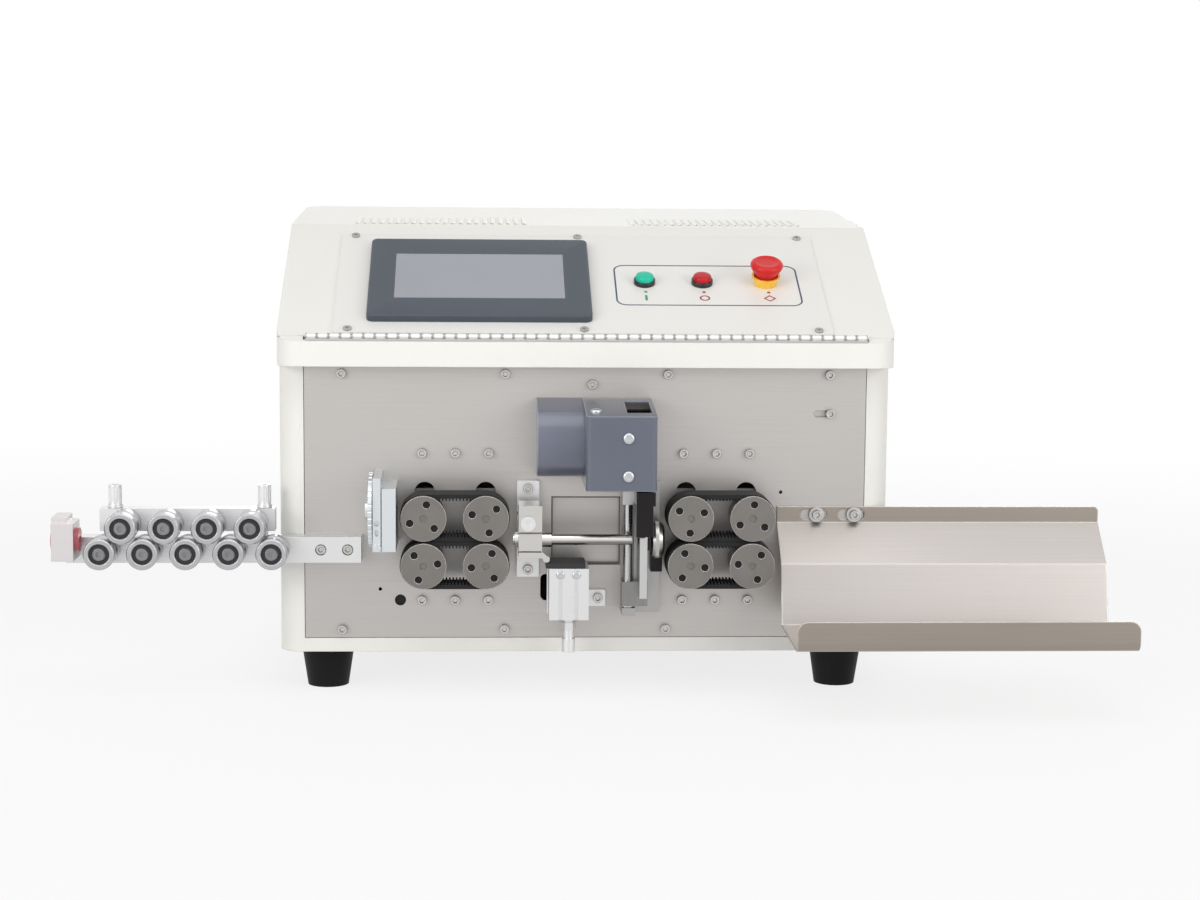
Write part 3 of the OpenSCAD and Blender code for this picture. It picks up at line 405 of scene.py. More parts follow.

# %% [markdown]
# ## Shared effects
# Four effects come back in nearly every finish, so each is a node group. Rounded edges makes the
# sharp edges of the solids catch light as broken edges do, and gives a mask of where they are. By
# that mask the finishes paint a rim of another tone along the edges, mostly a painted highlight.
# Grain is a fine speckle with large soft clouds over it. Brushing is a noise drawn out into
# lines along one direction. Turning is the ring pattern that a lathe leaves round an axis.

# %% Node groups
FLOAT = "NodeSocketFloat"
VECTOR = "NodeSocketVector"
BEVEL_SAMPLES, EDGE_GAIN = 4, 5.0
BRUSH_DEFAULT = (12.0, 900.0, 900.0)


def new_group(name, inputs, outputs):
    group = bpy.data.node_groups.new(name, "ShaderNodeTree")
    for label, kind, value in inputs:
        socket = group.interface.new_socket(label, in_out="INPUT", socket_type=kind)
        socket.default_value = value
    for label, kind in outputs:
        group.interface.new_socket(label, in_out="OUTPUT", socket_type=kind)
    return group, group.nodes.new("NodeGroupInput"), group.nodes.new("NodeGroupOutput")


edge_group, g_in, g_out = new_group(
    "rounded edges", [("Radius", FLOAT, 0.0005)], [("Normal", VECTOR), ("Edge", FLOAT)]
)
g_bevel = add_node(edge_group, "ShaderNodeBevel", {"Radius": g_in.outputs["Radius"]})
g_bevel.samples = BEVEL_SAMPLES
g_soft = g_bevel.outputs[0]
g_face = edge_group.nodes.new("ShaderNodeNewGeometry").outputs["Normal"]
g_same = vector_node(edge_group, "DOT_PRODUCT", g_soft, g_face)
g_turn = math_node(edge_group, "SUBTRACT", 1.0, g_same)
g_edge = math_node(edge_group, "MULTIPLY", g_turn, EDGE_GAIN, True)
fill(edge_group, g_out, {"Normal": g_soft, "Edge": g_edge})

grain_group, g_in, g_out = new_group(
    "grain", [("Scale", FLOAT, 900.0), ("Clouds", FLOAT, 7.0)], [("Grain", FLOAT), ("Cloud", FLOAT)]
)
for label, scale_from, detail in (("Grain", "Scale", 2.0), ("Cloud", "Clouds", 3.0)):
    g_noise = add_node(grain_group, "ShaderNodeTexNoise", {
        "Vector": place_of(grain_group), "Scale": g_in.outputs[scale_from], "Detail": detail,
    })
    fill(grain_group, g_out, {label: g_noise.outputs[0]})

brush_group, g_in, g_out = new_group(
    "brushing", [("Stretch", VECTOR, BRUSH_DEFAULT)], [("Lines", FLOAT)]
)
g_drawn = vector_node(brush_group, "MULTIPLY", place_of(brush_group), g_in.outputs["Stretch"])
g_noise = add_node(brush_group, "ShaderNodeTexNoise", {
    "Vector": g_drawn, "Scale": 1.0, "Detail": 4.0, "Roughness": 0.65,
})
fill(brush_group, g_out, {"Lines": g_noise.outputs[0]})

turn_group, g_in, g_out = new_group(
    "turning", [("Centre", VECTOR, (0.0, 0.0, 0.0)), ("Pitch", FLOAT, 2200.0)], [("Rings", FLOAT)]
)
g_far = off_axis(turn_group, g_in.outputs["Centre"], ACROSS_Y)
g_step = math_node(turn_group, "MULTIPLY", g_far, g_in.outputs["Pitch"])
g_noise = turn_group.nodes.new("ShaderNodeTexNoise")
g_noise.noise_dimensions = "1D"
fill(turn_group, g_noise, {"W": g_step, "Scale": 1.0, "Detail": 2.0})
fill(turn_group, g_out, {"Rings": g_noise.outputs[0]})
print("node groups:", [g.name for g in bpy.data.node_groups])


# %% [markdown]
# ## How a finish is put together
# Every finish is a Principled shader. Two near colours are mixed by a pattern, the same pattern
# lifts and lowers the roughness a little and drives a very low bump, and the edge mask adds a rim
# of another tone: mostly a lighter one, which is a painted highlight, and on a few solids a darker
# one, which is painted shade. Values that are the same all over stay on the shader's own sockets.
# Colours are written as screen values from 0 to 255.

# %% Finish helpers
BUMP_HEIGHT = 0.0002
PALE_HIGHLIGHT = (214, 213, 212)


def linear(screen):
    """A screen colour as the linear colour that a shader takes."""
    parts = [value / 255.0 for value in screen]
    return (*(p / 12.92 if p <= 0.04045 else ((p + 0.055) / 1.055) ** 2.4 for p in parts), 1.0)


def use_group(tree, group, **values):
    node = tree.nodes.new("ShaderNodeGroup")
    node.node_tree = group
    return fill(tree, node, values).outputs


def mix_colours(tree, share, a, b):
    """Mixes two colours: screen colours, or what other nodes give."""
    node = tree.nodes.new("ShaderNodeMix")
    node.data_type = "RGBA"
    slots = [index for index, socket in enumerate(node.inputs) if socket.type == "RGBA"]
    a, b = (linear(value) if isinstance(value, tuple) else value for value in (a, b))
    fill(tree, node, {0: share, slots[0]: a, slots[1]: b})
    return [socket for socket in node.outputs if socket.type == "RGBA"][0]


def blend_patterns(tree, a, b, share):
    parts = [math_node(tree, "MULTIPLY", *part) for part in ((a, share), (b, 1.0 - share))]
    return math_node(tree, "ADD", *parts, True)


def lines_and_clouds(tree, stretch, clouds):
    """Brushed lines, and a share for two colours that is half lines and half clouds."""
    lines = use_group(tree, brush_group, Stretch=stretch)["Lines"]
    cloud = use_group(tree, grain_group, Clouds=clouds)["Cloud"]
    return lines, blend_patterns(tree, lines, cloud, 0.5)


def start_finish(name, **sockets):
    finish = bpy.data.materials.new(name)
    tree = blank_tree(finish)
    values = {label.replace("_", " "): value for label, value in sockets.items()}
    shader = add_node(tree, "ShaderNodeBsdfPrincipled", values)
    add_node(tree, "ShaderNodeOutputMaterial", {"Surface": shader.outputs[0]})
    return finish, tree, shader


def close_finish(tree, shader, base, pattern, rough, span, bump, edge, rim, rim_share, height=None):
    """Joins colour, roughness, bump and the painted tone of the edges to the shader."""
    edges = use_group(tree, edge_group, Radius=edge)
    # The rim colour is painted along the edges: a painted highlight where it is lighter, painted
    # shade where it is darker.
    painted_edge_tone = math_node(tree, "MULTIPLY", edges["Edge"], rim_share)
    change = math_node(tree, "MULTIPLY", pattern, span)
    relief = add_node(tree, "ShaderNodeBump", {
        "Strength": bump, "Distance": BUMP_HEIGHT, "Normal": edges["Normal"],
        "Height": pattern if height is None else height,
    })
    fill(tree, shader, {
        "Base Color": mix_colours(tree, painted_edge_tone, base, rim),
        "Roughness": math_node(tree, "ADD", change, rough - span / 2, True),
        "Normal": relief.outputs[0],
    })


def grained(name, first, second, rough, grain=900.0, clouds=7.0, bump=0.15, edge=0.0005, rim=None,
            rim_share=0.3, **sockets):
    """Paint, plastic or rubber: a fine speckle under slow clouds."""
    finish, tree, shader = start_finish(name, **sockets)
    speckle = use_group(tree, grain_group, Scale=grain, Clouds=clouds)
    base = mix_colours(tree, speckle["Cloud"], first, second)
    close_finish(tree, shader, base, speckle["Grain"], rough, span=0.1, bump=bump, edge=edge,
                 rim=rim or first, rim_share=rim_share)
    return finish


def brushed(name, first, second, rough, stretch=BRUSH_DEFAULT, clouds=5.0, rim=None):
    """Metal with drawn lines: lines in colour, roughness and bump, and slow clouds of tint."""
    finish, tree, shader = start_finish(name, Metallic=1.0)
    lines, share = lines_and_clouds(tree, stretch, clouds)
    base = mix_colours(tree, share, first, second)
    close_finish(tree, shader, base, lines, rough, span=0.16, bump=0.12, edge=0.0004,
                 rim=rim or first, rim_share=0.4)
    return finish


def turned(name, centre, first, second, rough, rim, edge, pitch=2200.0, rim_share=0.7,
           rim_from=0.0):
    """Lathe-turned metal: rings round an axis that runs along Y through the centre."""
    finish, tree, shader = start_finish(name, Metallic=1.0)
    rings = use_group(tree, turn_group, Centre=centre, Pitch=pitch)["Rings"]
    cloud = use_group(tree, grain_group, Clouds=60.0)["Cloud"]
    base = mix_colours(tree, blend_patterns(tree, rings, cloud, 0.55), first, second)
    # The painted highlight along the edges is left out near the axis, within rim_from of it.
    outer = math_node(tree, "GREATER_THAN", off_axis(tree, centre, ACROSS_Y), rim_from)
    close_finish(tree, shader, base, rings, rough, span=0.14, bump=0.15, edge=edge, rim=rim,
                 rim_share=math_node(tree, "MULTIPLY", outer, rim_share))
    return finish


def two_metals_or_painted_shade(name, axis, limit, low, high, rough=0.34, by="Object", blend=0.0002, clouds=30.0,
               stretch=(300.0, 300.0, 40.0), edge=0.0004, rim=PALE_HIGHLIGHT, rim_share=0.35, **sockets):
    """One solid in two tones: two metals parted by its place, or painted shade parted by facing."""
    finish, tree, shader = start_finish(name, Metallic=1.0, **sockets)
    lines, share = lines_and_clouds(tree, stretch, clouds)
    # Parted by the way the faces look (by Normal), the two tones are painted light and shade;
    # parted by place, they are two metals.
    beyond = ramp(tree, coordinate(tree, axis, by), limit - blend / 2, limit + blend / 2,
                  curve="SMOOTHSTEP")
    first, second = (mix_colours(tree, share, *pair) for pair in (low, high))
    base = mix_colours(tree, beyond, first, second)
    close_finish(tree, shader, base, lines, rough, span=0.14, bump=0.12, edge=edge, rim=rim,
                 rim_share=rim_share)
    return finish


def paint_and_metal(name, paint, metal, rough, mask_of, edge=0.0005, rim=None, **sockets):
    """Painted sheet with fittings of bare metal where the mask says so."""
    finish, tree, shader = start_finish(name, **sockets)
    speckle = use_group(tree, grain_group, Scale=1500.0, Clouds=4.5)
    bare = mask_of(tree)
    fill(tree, shader, {"Metallic": bare})
    coat = mix_colours(tree, speckle["Cloud"], *paint)
    fitting = metal(tree) if callable(metal) else mix_colours(tree, speckle["Cloud"], *metal)
    close_finish(tree, shader, mix_colours(tree, bare, coat, fitting), speckle["Grain"], rough,
                 span=0.1, bump=0.08, edge=edge, rim=rim or paint[0], rim_share=0.4)
    return finish


def wear(finish, *solids):
    """Puts a finish on solids of the frame."""
    for solid in solids:
        materials = nodes[solid].data.materials
        materials.clear()
        materials.append(finish)
    print(finish.name + ":", ", ".join(solids))
    return finish


# %% [markdown]
# ## Painted sheet
# The casing and the hood are powder-coated in a warm white: an even colour with a fine orange-peel
# skin. The control panel is a smoother, slightly greyer white. The pan under the machine is grey.
# The hood's solid includes its hinge knuckles and the panel's includes its screws. Both are bare
# metal, so a mask finds them: near the hinge's axis, and higher than the panel's face.

# %% Casing, hood, panel and pan
HINGE_A, HINGE_N, HINGE_R = 7.0, 1.0, 3.2
HINGE_LEN, KNUCKLES = 496.0, 49
JOINT_DARK, JOINT_END = 0.0010, 0.0018
MASK_SLACK = 0.2
IVORY = (240, 239, 233), (236, 234, 227)
# Lighter tone for the edges of casing and hood: a painted highlight.
IVORY_HIGHLIGHT = (248, 247, 243)


def on_hinge(tree):
    """A mask that is 1 near the hinge's axis, which runs along X."""
    far = off_axis(tree, on_slope(0.0, HINGE_A, HINGE_N), ACROSS_X)
    return math_node(tree, "LESS_THAN", far, (HINGE_R + MASK_SLACK) * MM)


def above_panel(tree):
    """A mask that is 1 for what stands higher than the panel's face."""
    point = on_slope(0.0, 0.0, PANEL_FACE + MASK_SLACK)
    off = vector_node(tree, "SUBTRACT", place_of(tree), point)
    return math_node(tree, "GREATER_THAN", vector_node(tree, "DOT_PRODUCT", off, SLOPE_UP), 0.0)


def knuckle_colour(tree):
    """Hinge steel along X, with a darker band at each joint between two knuckles."""
    start = at(-HINGE_LEN / 2).x
    along = math_node(tree, "SUBTRACT", coordinate(tree, "X"), start)
    off_joint = math_node(tree, "PINGPONG", along, HINGE_LEN / KNUCKLES / 2 * MM)
    knuckle = ramp(tree, off_joint, JOINT_DARK, JOINT_END)
    return mix_colours(tree, knuckle, (170, 169, 167), (222, 221, 219))


# Casing, hood and panel get a lighter tone along their edges, a painted highlight.
ivory = wear(grained(
    "ivory powder coat", *IVORY, 0.55, grain=1400.0, clouds=4.0, bump=0.10, edge=0.0010,
    rim=IVORY_HIGHLIGHT, rim_share=0.5, Specular_IOR_Level=0.25,
), "body_shell")
wear(paint_and_metal(
    "hood paint", IVORY, knuckle_colour, 0.55, on_hinge, edge=0.0010, rim=IVORY_HIGHLIGHT,
    Specular_IOR_Level=0.25,
), "hood_shell")
wear(paint_and_metal(
    "panel white", ((236, 234, 229), (232, 230, 225)), ((184, 182, 179), (158, 156, 153)), 0.38,
    above_panel, rim=(246, 245, 241),
), "control_panel")
wear(grained("pan grey", (196, 197, 195), (186, 187, 185), 0.5), "base_pan")

# %% [markdown]
# ## Plate, tray and other bare metal
# The front plate is nickel-coloured and finely brushed along its length, with a slow warm and
# cool change of tint. The tray is brighter sheet steel, brushed the same way. Where a sheet is
# cut or bent, its faces look another way, and the finish paints them another tone by that
# direction: painted shade makes the walls of slots dark, and the upright bends of the tray darker.
# The plate's screws have a dark rim and darker sides, both painted shade, and the tube is painted
# lighter on top and darker below. Some solids hold two metals and change at a place, such as the
# front of the straightener's bars.

# %% Bare metal
BAR_FRONT_Y, HOLDER_X, BLADE_Y, GUIDE_Y, RAIL_UP = -45.0, 41.0, -33.0, -26.5, 74.0
MILLED = {"stretch": (40.0, 700.0, 700.0), "clouds": 14.0}
ALLOY = (232, 232, 232), (214, 214, 215)
BLACK = (52, 50, 51), (38, 37, 39)
STEEL = (208, 208, 207), (186, 186, 186)
DULL = (150, 149, 148), (126, 125, 125)

# Faces of the plate that do not look to the front, such as the walls of its slots, holes and
# pocket, are painted darker: painted shade.
wear(two_metals_or_painted_shade(
    "brushed plate", "Y", -0.5, ((200, 197, 194), (176, 172, 169)), ((112, 109, 107), (88, 86, 84)),
    0.42, by="Normal", blend=0.4, clouds=3.0, stretch=(9.0, 1100.0, 1100.0), rim_share=0.2,
    Anisotropic=0.35,
), "front_plate")
# Faces of the tray that do not look up, such as flange and lip, take a darker warm tone, a painted
# reflection of a dark room; the pale rim along the bends is a painted highlight.
tray_metal = wear(two_metals_or_painted_shade(
    "tray sheet", "Z", 0.14, ((174, 166, 157), (142, 132, 122)), ((204, 199, 195), (176, 170, 166)),
    by="Normal", blend=0.2, clouds=4.0, stretch=(6.0, 800.0, 800.0), edge=0.0014,
    rim=(236, 232, 228), rim_share=0.9, Anisotropic=0.4,
), "output_tray")
# The tube's upward faces are painted bright and its downward faces dark: painted light and shade.
wear(two_metals_or_painted_shade(
    "drawn tube", "Z", -0.1, ((140, 138, 136), (116, 114, 112)), ((238, 235, 232), (218, 215, 212)),
    0.24, by="Normal", blend=0.7, clouds=20.0, stretch=(10.0, 1500.0, 1500.0),
), "guide_tube")
# Screw faces that do not look to the front are painted darker, and the dark rim along the head's
# edge is painted shade.
wear(two_metals_or_painted_shade(
    "screw nickel", "Y", -0.6, ((214, 212, 209), (188, 186, 183)),
    ((150, 148, 145), (122, 120, 118)), 0.3, by="Normal", blend=0.3, clouds=60.0,
    stretch=(300.0, 300.0, 300.0), edge=0.0010, rim=(70, 68, 66), rim_share=0.9,
), "front_screws")
wear(two_metals_or_painted_shade(
    "straightener bars", "Y", at(y=BAR_FRONT_Y).y, ((150, 150, 153), (118, 118, 121)),
    ALLOY, 0.38, **MILLED,
), "straightener_bar", "straightener_top_bar")
wear(two_metals_or_painted_shade("blade holder", "X", at(HOLDER_X).x, STEEL, BLACK), "upper_blade")
wear(two_metals_or_painted_shade("lower blade steel", "Y", at(y=BLADE_Y).y, STEEL, DULL), "lower_blade")
wear(two_metals_or_painted_shade(
    "cutter back and rail", "Z", at(z=WIRE_Z + RAIL_UP).z,
    ((180, 179, 178), (158, 157, 156)), BLACK,
), "cutter_frame")
wear(two_metals_or_painted_shade(
    "outlet guide", "Y", at(y=GUIDE_Y).y, ((194, 192, 187), (172, 170, 165)), BLACK,
), "outlet_guide")
wear(brushed("milled alloy", *ALLOY, 0.38, **MILLED),
     "tube_bracket", "lift_cylinder", "thumb_nut_left", "thumb_nut_right")
wear(brushed("inlet alloy", (222, 217, 217), (204, 199, 200), 0.38, **MILLED), "inlet_block")
wear(brushed("frame alloy", (182, 183, 186), (166, 168, 172), 0.42),
     "feed_frames", "left_carriage", "right_carriage")
wear(brushed("motor sheet", (52, 52, 55), (40, 40, 43), 0.45), "drive_motors")
wear(brushed("bright steel", (206, 206, 205), (184, 184, 184), 0.26,
             stretch=(60.0, 60.0, 900.0), clouds=20.0), "lead_screw")
wear(brushed("selector steel", (226, 230, 232), (208, 212, 215), 0.34,
             stretch=(80.0, 500.0, 500.0)), "selector_bracket", "selector_disc")
wear(paint_and_metal("hinge steel", ((196, 195, 193), (184, 183, 181)), knuckle_colour, 0.4,
                     on_hinge, edge=0.0003), "hinge_lower_leaf")

# %% [markdown]
# ## Turned pulleys and rollers
# The pulley discs and the rollers come off a lathe, so their faces show rings round their own
# axis. The joints of the frame say where each axis runs, so each gets a finish of its own.

# %% Pulleys and rollers
axis_of = {j["child"]: Vector(j["pos_m"]) for j in frame["joints"] if j["type"] == "hinge"}
rollers = [node for node in nodes if node.startswith("roller_")]
# Discs and rollers get a pale tone along their edges, a painted highlight.
for node in (n for n in nodes if n.startswith("pulley_")):
    wear(turned("turned " + node, axis_of[node], (142, 138, 134), (110, 107, 104), 0.46,
                rim=(236, 233, 229), edge=0.0009, rim_share=0.9, rim_from=0.008), node)
for node in rollers:
    wear(turned("turned " + node, axis_of[node], (206, 206, 208), (158, 158, 161), 0.28,
                rim=(240, 240, 240), edge=0.0006, pitch=3200.0), node)

# %% [markdown]
# ## Rubber and plastic
# Belts and feet are black rubber. The cutter covers are moulded in blue-grey plastic with a clear
# sheen, and the round one at the side is a little paler.

# %% Rubber and plastic finishes
COVER = {"grain": 1600.0, "clouds": 12.0, "bump": 0.08, "edge": 0.0016, "rim_share": 0.9,
         "Coat_Weight": 0.8, "Coat_Roughness": 0.2}

# Belts, feet and covers get a lighter tone along their edges, a painted highlight that is strongest
# on the cutter covers.
wear(grained(
    "belt rubber", (30, 29, 30), (20, 20, 21), 0.66, grain=1200.0, clouds=40.0, bump=0.35,
    rim=(66, 65, 65), rim_share=0.5, Specular_IOR_Level=0.3,
), "lower_belts", "left_upper_belt", "right_upper_belt")
wear(grained(
    "foot rubber", (13, 12, 15), (8, 8, 9), 0.55, grain=1500.0, clouds=20.0, bump=0.2, edge=0.0012,
    rim=(46, 45, 46), Specular_IOR_Level=0.2,
), "rubber_feet")
wear(grained("cover plastic", (90, 95, 111), (82, 87, 102), 0.34, rim=(182, 188, 200), **COVER),
     "cutter_front_cover")
wear(grained("side cover plastic", (106, 111, 128), (98, 103, 119), 0.34, rim=(190, 195, 206),
             **COVER), "cutter_side_cover")
wear(grained("inlet bush", (196, 96, 104), (176, 78, 88), 0.28, clouds=40.0, bump=0.05),
     "inlet_bush")
wear(grained("rod black", (38, 37, 37), (28, 27, 28), 0.5, bump=0.2), "cylinder_rod")
wear(grained("inlet black", (40, 40, 41), (30, 30, 31), 0.45, bump=0.2),
     "power_inlet", "power_switch")
wear(grained("board", (120, 150, 128), (96, 128, 106), 0.5, bump=0.1), "control_electronics")

# %% [markdown]
# ## Controls
# Buttons and mushroom are glossy plastic. They get a clear coat, so that the lamps show in them as
# small soft highlights. The collars of the push buttons are black and the one under the mushroom
# is yellow; they are one node of the frame, so the finish changes colour at a place between them.

# %% Control finishes
YELLOW_FROM_X = 138.0
LENS = {"grain": 300.0, "clouds": 90.0, "bump": 0.04, "Coat_Roughness": 0.08,
        "Specular_IOR_Level": 0.3}

# Bezel, mushroom and collars get another tone along their edges: mostly a painted highlight, and on
# the yellow collar a painted shade.
bezel_plastic = wear(grained(
    "bezel slate", (68, 76, 86), (60, 68, 78), 0.46, grain=1500.0, clouds=9.0, bump=0.06,
    edge=0.0012, rim=(140, 147, 156), rim_share=0.6,
), "touch_screen")
green_lens = wear(grained(
    "green lens", (24, 206, 172), (6, 178, 144), 0.3, Coat_Weight=0.15, **LENS,
), "start_button")
red_lens = wear(grained(
    "red lens", (200, 14, 26), (168, 4, 14), 0.3, Coat_Weight=0.1, **LENS,
), "stop_button")
mushroom_red = wear(grained(
    "mushroom red", (218, 24, 24), (200, 14, 16), 0.34, grain=600.0, clouds=60.0, bump=0.05,
    rim=(240, 110, 104), Coat_Weight=0.15, Coat_Roughness=0.1, Specular_IOR_Level=0.3,
), "estop_head")

collar_finish, tree, shader = start_finish("collars", Coat_Weight=0.3, Coat_Roughness=0.1)
speckle = use_group(tree, grain_group, Scale=900.0, Clouds=60.0)
yellow_from = at(YELLOW_FROM_X).x
under_mushroom = math_node(tree, "GREATER_THAN", coordinate(tree, "X"), yellow_from)
black = mix_colours(tree, speckle["Cloud"], (24, 24, 25), (15, 15, 16))
yellow = mix_colours(tree, speckle["Cloud"], (255, 204, 62), (252, 192, 46))
base = mix_colours(tree, under_mushroom, black, yellow)
close_finish(tree, shader, base, speckle["Grain"], rough=0.3, span=0.1, bump=0.05, edge=0.0004,
             rim=(120, 110, 80), rim_share=0.2)
wear(collar_finish, "button_collars")

# %% [markdown]
# ## Tools of the hand
# A few moves come back in the pieces below: push a face out, draw a smaller face inside it, make
# it wider or narrower about the piece's own middle, and bevel edges. Longer moves are made of
# them: open a piece from face to face, round the corners along one axis, and draw a turned shape
# out of a round face, step by step.

# %% Edit moves
UP, DOWN = 1, -1
AXIS_Y, AXIS_Z = 1, 2


def push(y=0.0, z=0.0):
    bpy.ops.mesh.extrude_region_move(TRANSFORM_OT_translate={"value": (0.0, y * MM, z * MM)})


def inset(width):
    bpy.ops.mesh.inset(thickness=width * MM, depth=0.0, use_even_offset=True)


def widen(across, along=None):
    along = across if along is None else along
    bpy.ops.transform.resize(value=(across, along, 1.0), center_override=(0.0, 0.0, 0.0))


def shift(y=0.0, z=0.0):
    bpy.ops.transform.translate(value=(0.0, y * MM, z * MM))


def soften_edges(width, segments=3):
    bpy.ops.mesh.bevel(offset=width * MM, segments=segments, affect="EDGES")


def pick_ends(piece, *ways):
    """Selects the level end faces of a piece that look UP, DOWN or either way."""
    heights = [v.co.z / MM for v in bmesh.from_edit_mesh(piece.data).verts]
    ends = {UP: max(heights), DOWN: min(heights)}
    return pick_faces(piece, lambda middle, normal: any(
        normal.z * way > ALONG and abs(middle.z - ends[way]) < NEAR for way in ways))


def bore_through(piece, wall):
    """Leaves a wall of the given width and opens the piece from its top to its bottom."""
    edit(piece)
    pick_ends(piece, UP, DOWN)
    inset(wall)
    bpy.ops.mesh.bridge_edge_loops()
    object_mode()


def round_corners(piece, axis, radius, segments):
    edit(piece)
    pick_edges(piece, lambda m, d: abs(d[axis]) > ALONG)
    soften_edges(radius, segments)
    object_mode()


def draw_out(radius, steps):
    """Draws a round face out by steps of a rise and the radius at its end."""
    for rise, wide in steps:
        push(z=rise)
        widen(wide / radius)
        radius = wide


def new_turned(name, radius, length, middle, bores, steps=(), sides=48):
    """A cylinder with its top drawn out in steps and then bored inside borders."""
    piece = new_round(name, radius, length, middle, sides)
    edit(piece)
    pick_ends(piece, UP)
    draw_out(radius, steps)
    for border, depth in bores:
        inset(border)
        push(z=-depth)
    object_mode()
    return piece


# %% [markdown]
# ## Touch screen
# The frame of the screen is one moulding with round corners and a sunk window, and its back box
# goes through the panel. It starts as a flat block. The back box and the window are drawn first,
# by insets, because an inset larger than a corner's radius would fold over itself. The corners
# and the front edge are rounded afterwards. The window holds a separate pane.

# %% Screen frame
SCREEN_X, SCREEN_A = -95.5, 104.8
SCREEN_W, SCREEN_H, SCREEN_OUT = 201.0, 146.0, 7.0
WINDOW_W, WINDOW_H, WINDOW_UP, WINDOW_SUNK = 154.4, 84.7, 1.2, 1.4
BOX_BORDER, BOX_DEEP = 7.0, 28.0
CORNER_R, FRONT_R = 6.0, 1.6
REACH = 8.0

bezel = new_block("screen_bezel", (SCREEN_W, SCREEN_H, SCREEN_OUT), (0.0, 0.0, SCREEN_OUT / 2))
edit(bezel)
pick_ends(bezel, DOWN)
inset(BOX_BORDER)
push(z=-BOX_DEEP)
pick_ends(bezel, UP)
side_border = (SCREEN_W - WINDOW_W) / 2
inset(side_border)
widen(1.0, WINDOW_H / (SCREEN_H - 2 * side_border))
shift(y=WINDOW_UP)
push(z=-WINDOW_SUNK)
corners = pick_edges(bezel, lambda m, d: (
    abs(d.z) > ALONG and m.z > 0.0 and abs(m.x) > SCREEN_W / 2 - 1))
soften_edges(CORNER_R, 6)
rim = pick_rim(bezel, lambda m: m.z > SCREEN_OUT - NEAR and (
    abs(m.x) > SCREEN_W / 2 - REACH or abs(m.y) > SCREEN_H / 2 - REACH))
soften_edges(FRONT_R)
object_mode()
smooth(bezel)
lay_on_slope(bezel, SCREEN_X, SCREEN_A, PANEL_FACE)
print("screen frame: corners", corners, "rim edges", rim, "faces", len(bezel.data.polygons))

# %% Pane of the screen
PANE_W, PANE_H, PANE_T = WINDOW_W - 0.4, WINDOW_H - 0.4, 0.9
PANE_BORDER, PANE_SUNK, PANE_FOOT = 1.3, 0.25, SCREEN_OUT - 1.35

pane = new_block("screen_pane", (PANE_W, PANE_H, PANE_T), (0.0, WINDOW_UP, PANE_T / 2))
edit(pane)
pick_ends(pane, UP)
inset(PANE_BORDER)
push(z=-PANE_SUNK)
object_mode()
round_edges(pane, 0.15)
lay_on_slope(pane, SCREEN_X, SCREEN_A, PANEL_FACE + PANE_FOOT)
tell(pane)

# %% [markdown]
# ## Push buttons
# A lens is a low cylinder with a gently domed top. The dome is made by pushing the top face up
# three times and narrowing it each time. The second lens is a copy with its own mesh.

# %% Lenses
BUTTON_A = 106.0
START_X, STOP_X, ESTOP_X = 55.5, 108.5, 167.0
LENS_R, LENS_HIGH, LENS_MIDDLE = 8.3, 12.3, 1.05
LENS_DOME = ((0.7, 0.95), (0.5, 0.86), (0.3, 0.66))
CROWN_BORDER, CROWN_RISE = 1.6, 0.08


def seat(piece, x):
    return lay_on_slope(piece, x, BUTTON_A, PANEL_FACE)


lens = new_round("start_lens", LENS_R, LENS_HIGH, LENS_MIDDLE)
edit(lens)
pick_ends(lens, UP)
for rise, share in LENS_DOME:
    push(z=rise)
    widen(share)
inset(CROWN_BORDER)
shift(z=CROWN_RISE)
object_mode()
smooth(lens, 50.0)
stop_lens = copy_of(lens, "stop_lens")
seat(lens, START_X)
seat(stop_lens, STOP_X)
tell(lens)

# %% [markdown]
# ## Collars
# The push buttons sit in slim black collars, and the mushroom in a yellow one that widens upwards.
# Each is a turned shape with a barrel behind the panel: the end face of a cylinder is widened to a
# flange, pushed up and hollowed. The three are joined, because they are one node of the frame.

# %% Collars
slim = new_turned(
    "start_collar", radius=8.9, length=24.0, middle=-14.0, bores=((0.9, 16.0),),
    steps=((2.0, 8.9), (0.0, 9.9), (3.7, 9.9), (0.6, 9.5)),
)
cone = new_turned(
    "estop_collar", radius=8.0, length=28.0, middle=-16.0, bores=((1.8, 4.9), (5.6, 14.6)),
    steps=((2.0, 8.0), (0.0, 10.2), (1.0, 10.2), (7.4, 13.2), (0.6, 12.9)),
)
smooth(slim, 35.0)
smooth(cone, 35.0)
twin = copy_of(slim, "stop_collar")
collars = join_pieces([seat(slim, START_X), seat(twin, STOP_X), seat(cone, ESTOP_X)], "collars")
tell(collars)

# %% [markdown]
# ## Emergency mushroom
# The head widens upwards from a narrow underside, turns over a round shoulder and ends in a
# shallow dish. Stem and plunger are pushed out of its underside. Everything is one turned shape,
# so pushing and narrowing the end faces of one cylinder is enough.

# %% Mushroom
HEAD_FOOT_R, HEAD_FOOT_T, HEAD_MIDDLE = 12.6, 0.6, 13.7
HEAD_STEPS = ((2.4, 14.2), (2.0, 15.0), (1.8, 15.0), (1.2, 14.5), (0.9, 13.4), (0.6, 11.8),
              (0.1, 10.8))
DISH_STEPS = ((1.4, 0.6), (4.0, 0.25))
STEM_STEPS = ((2.6, 5.0), (5.0, 13.8))

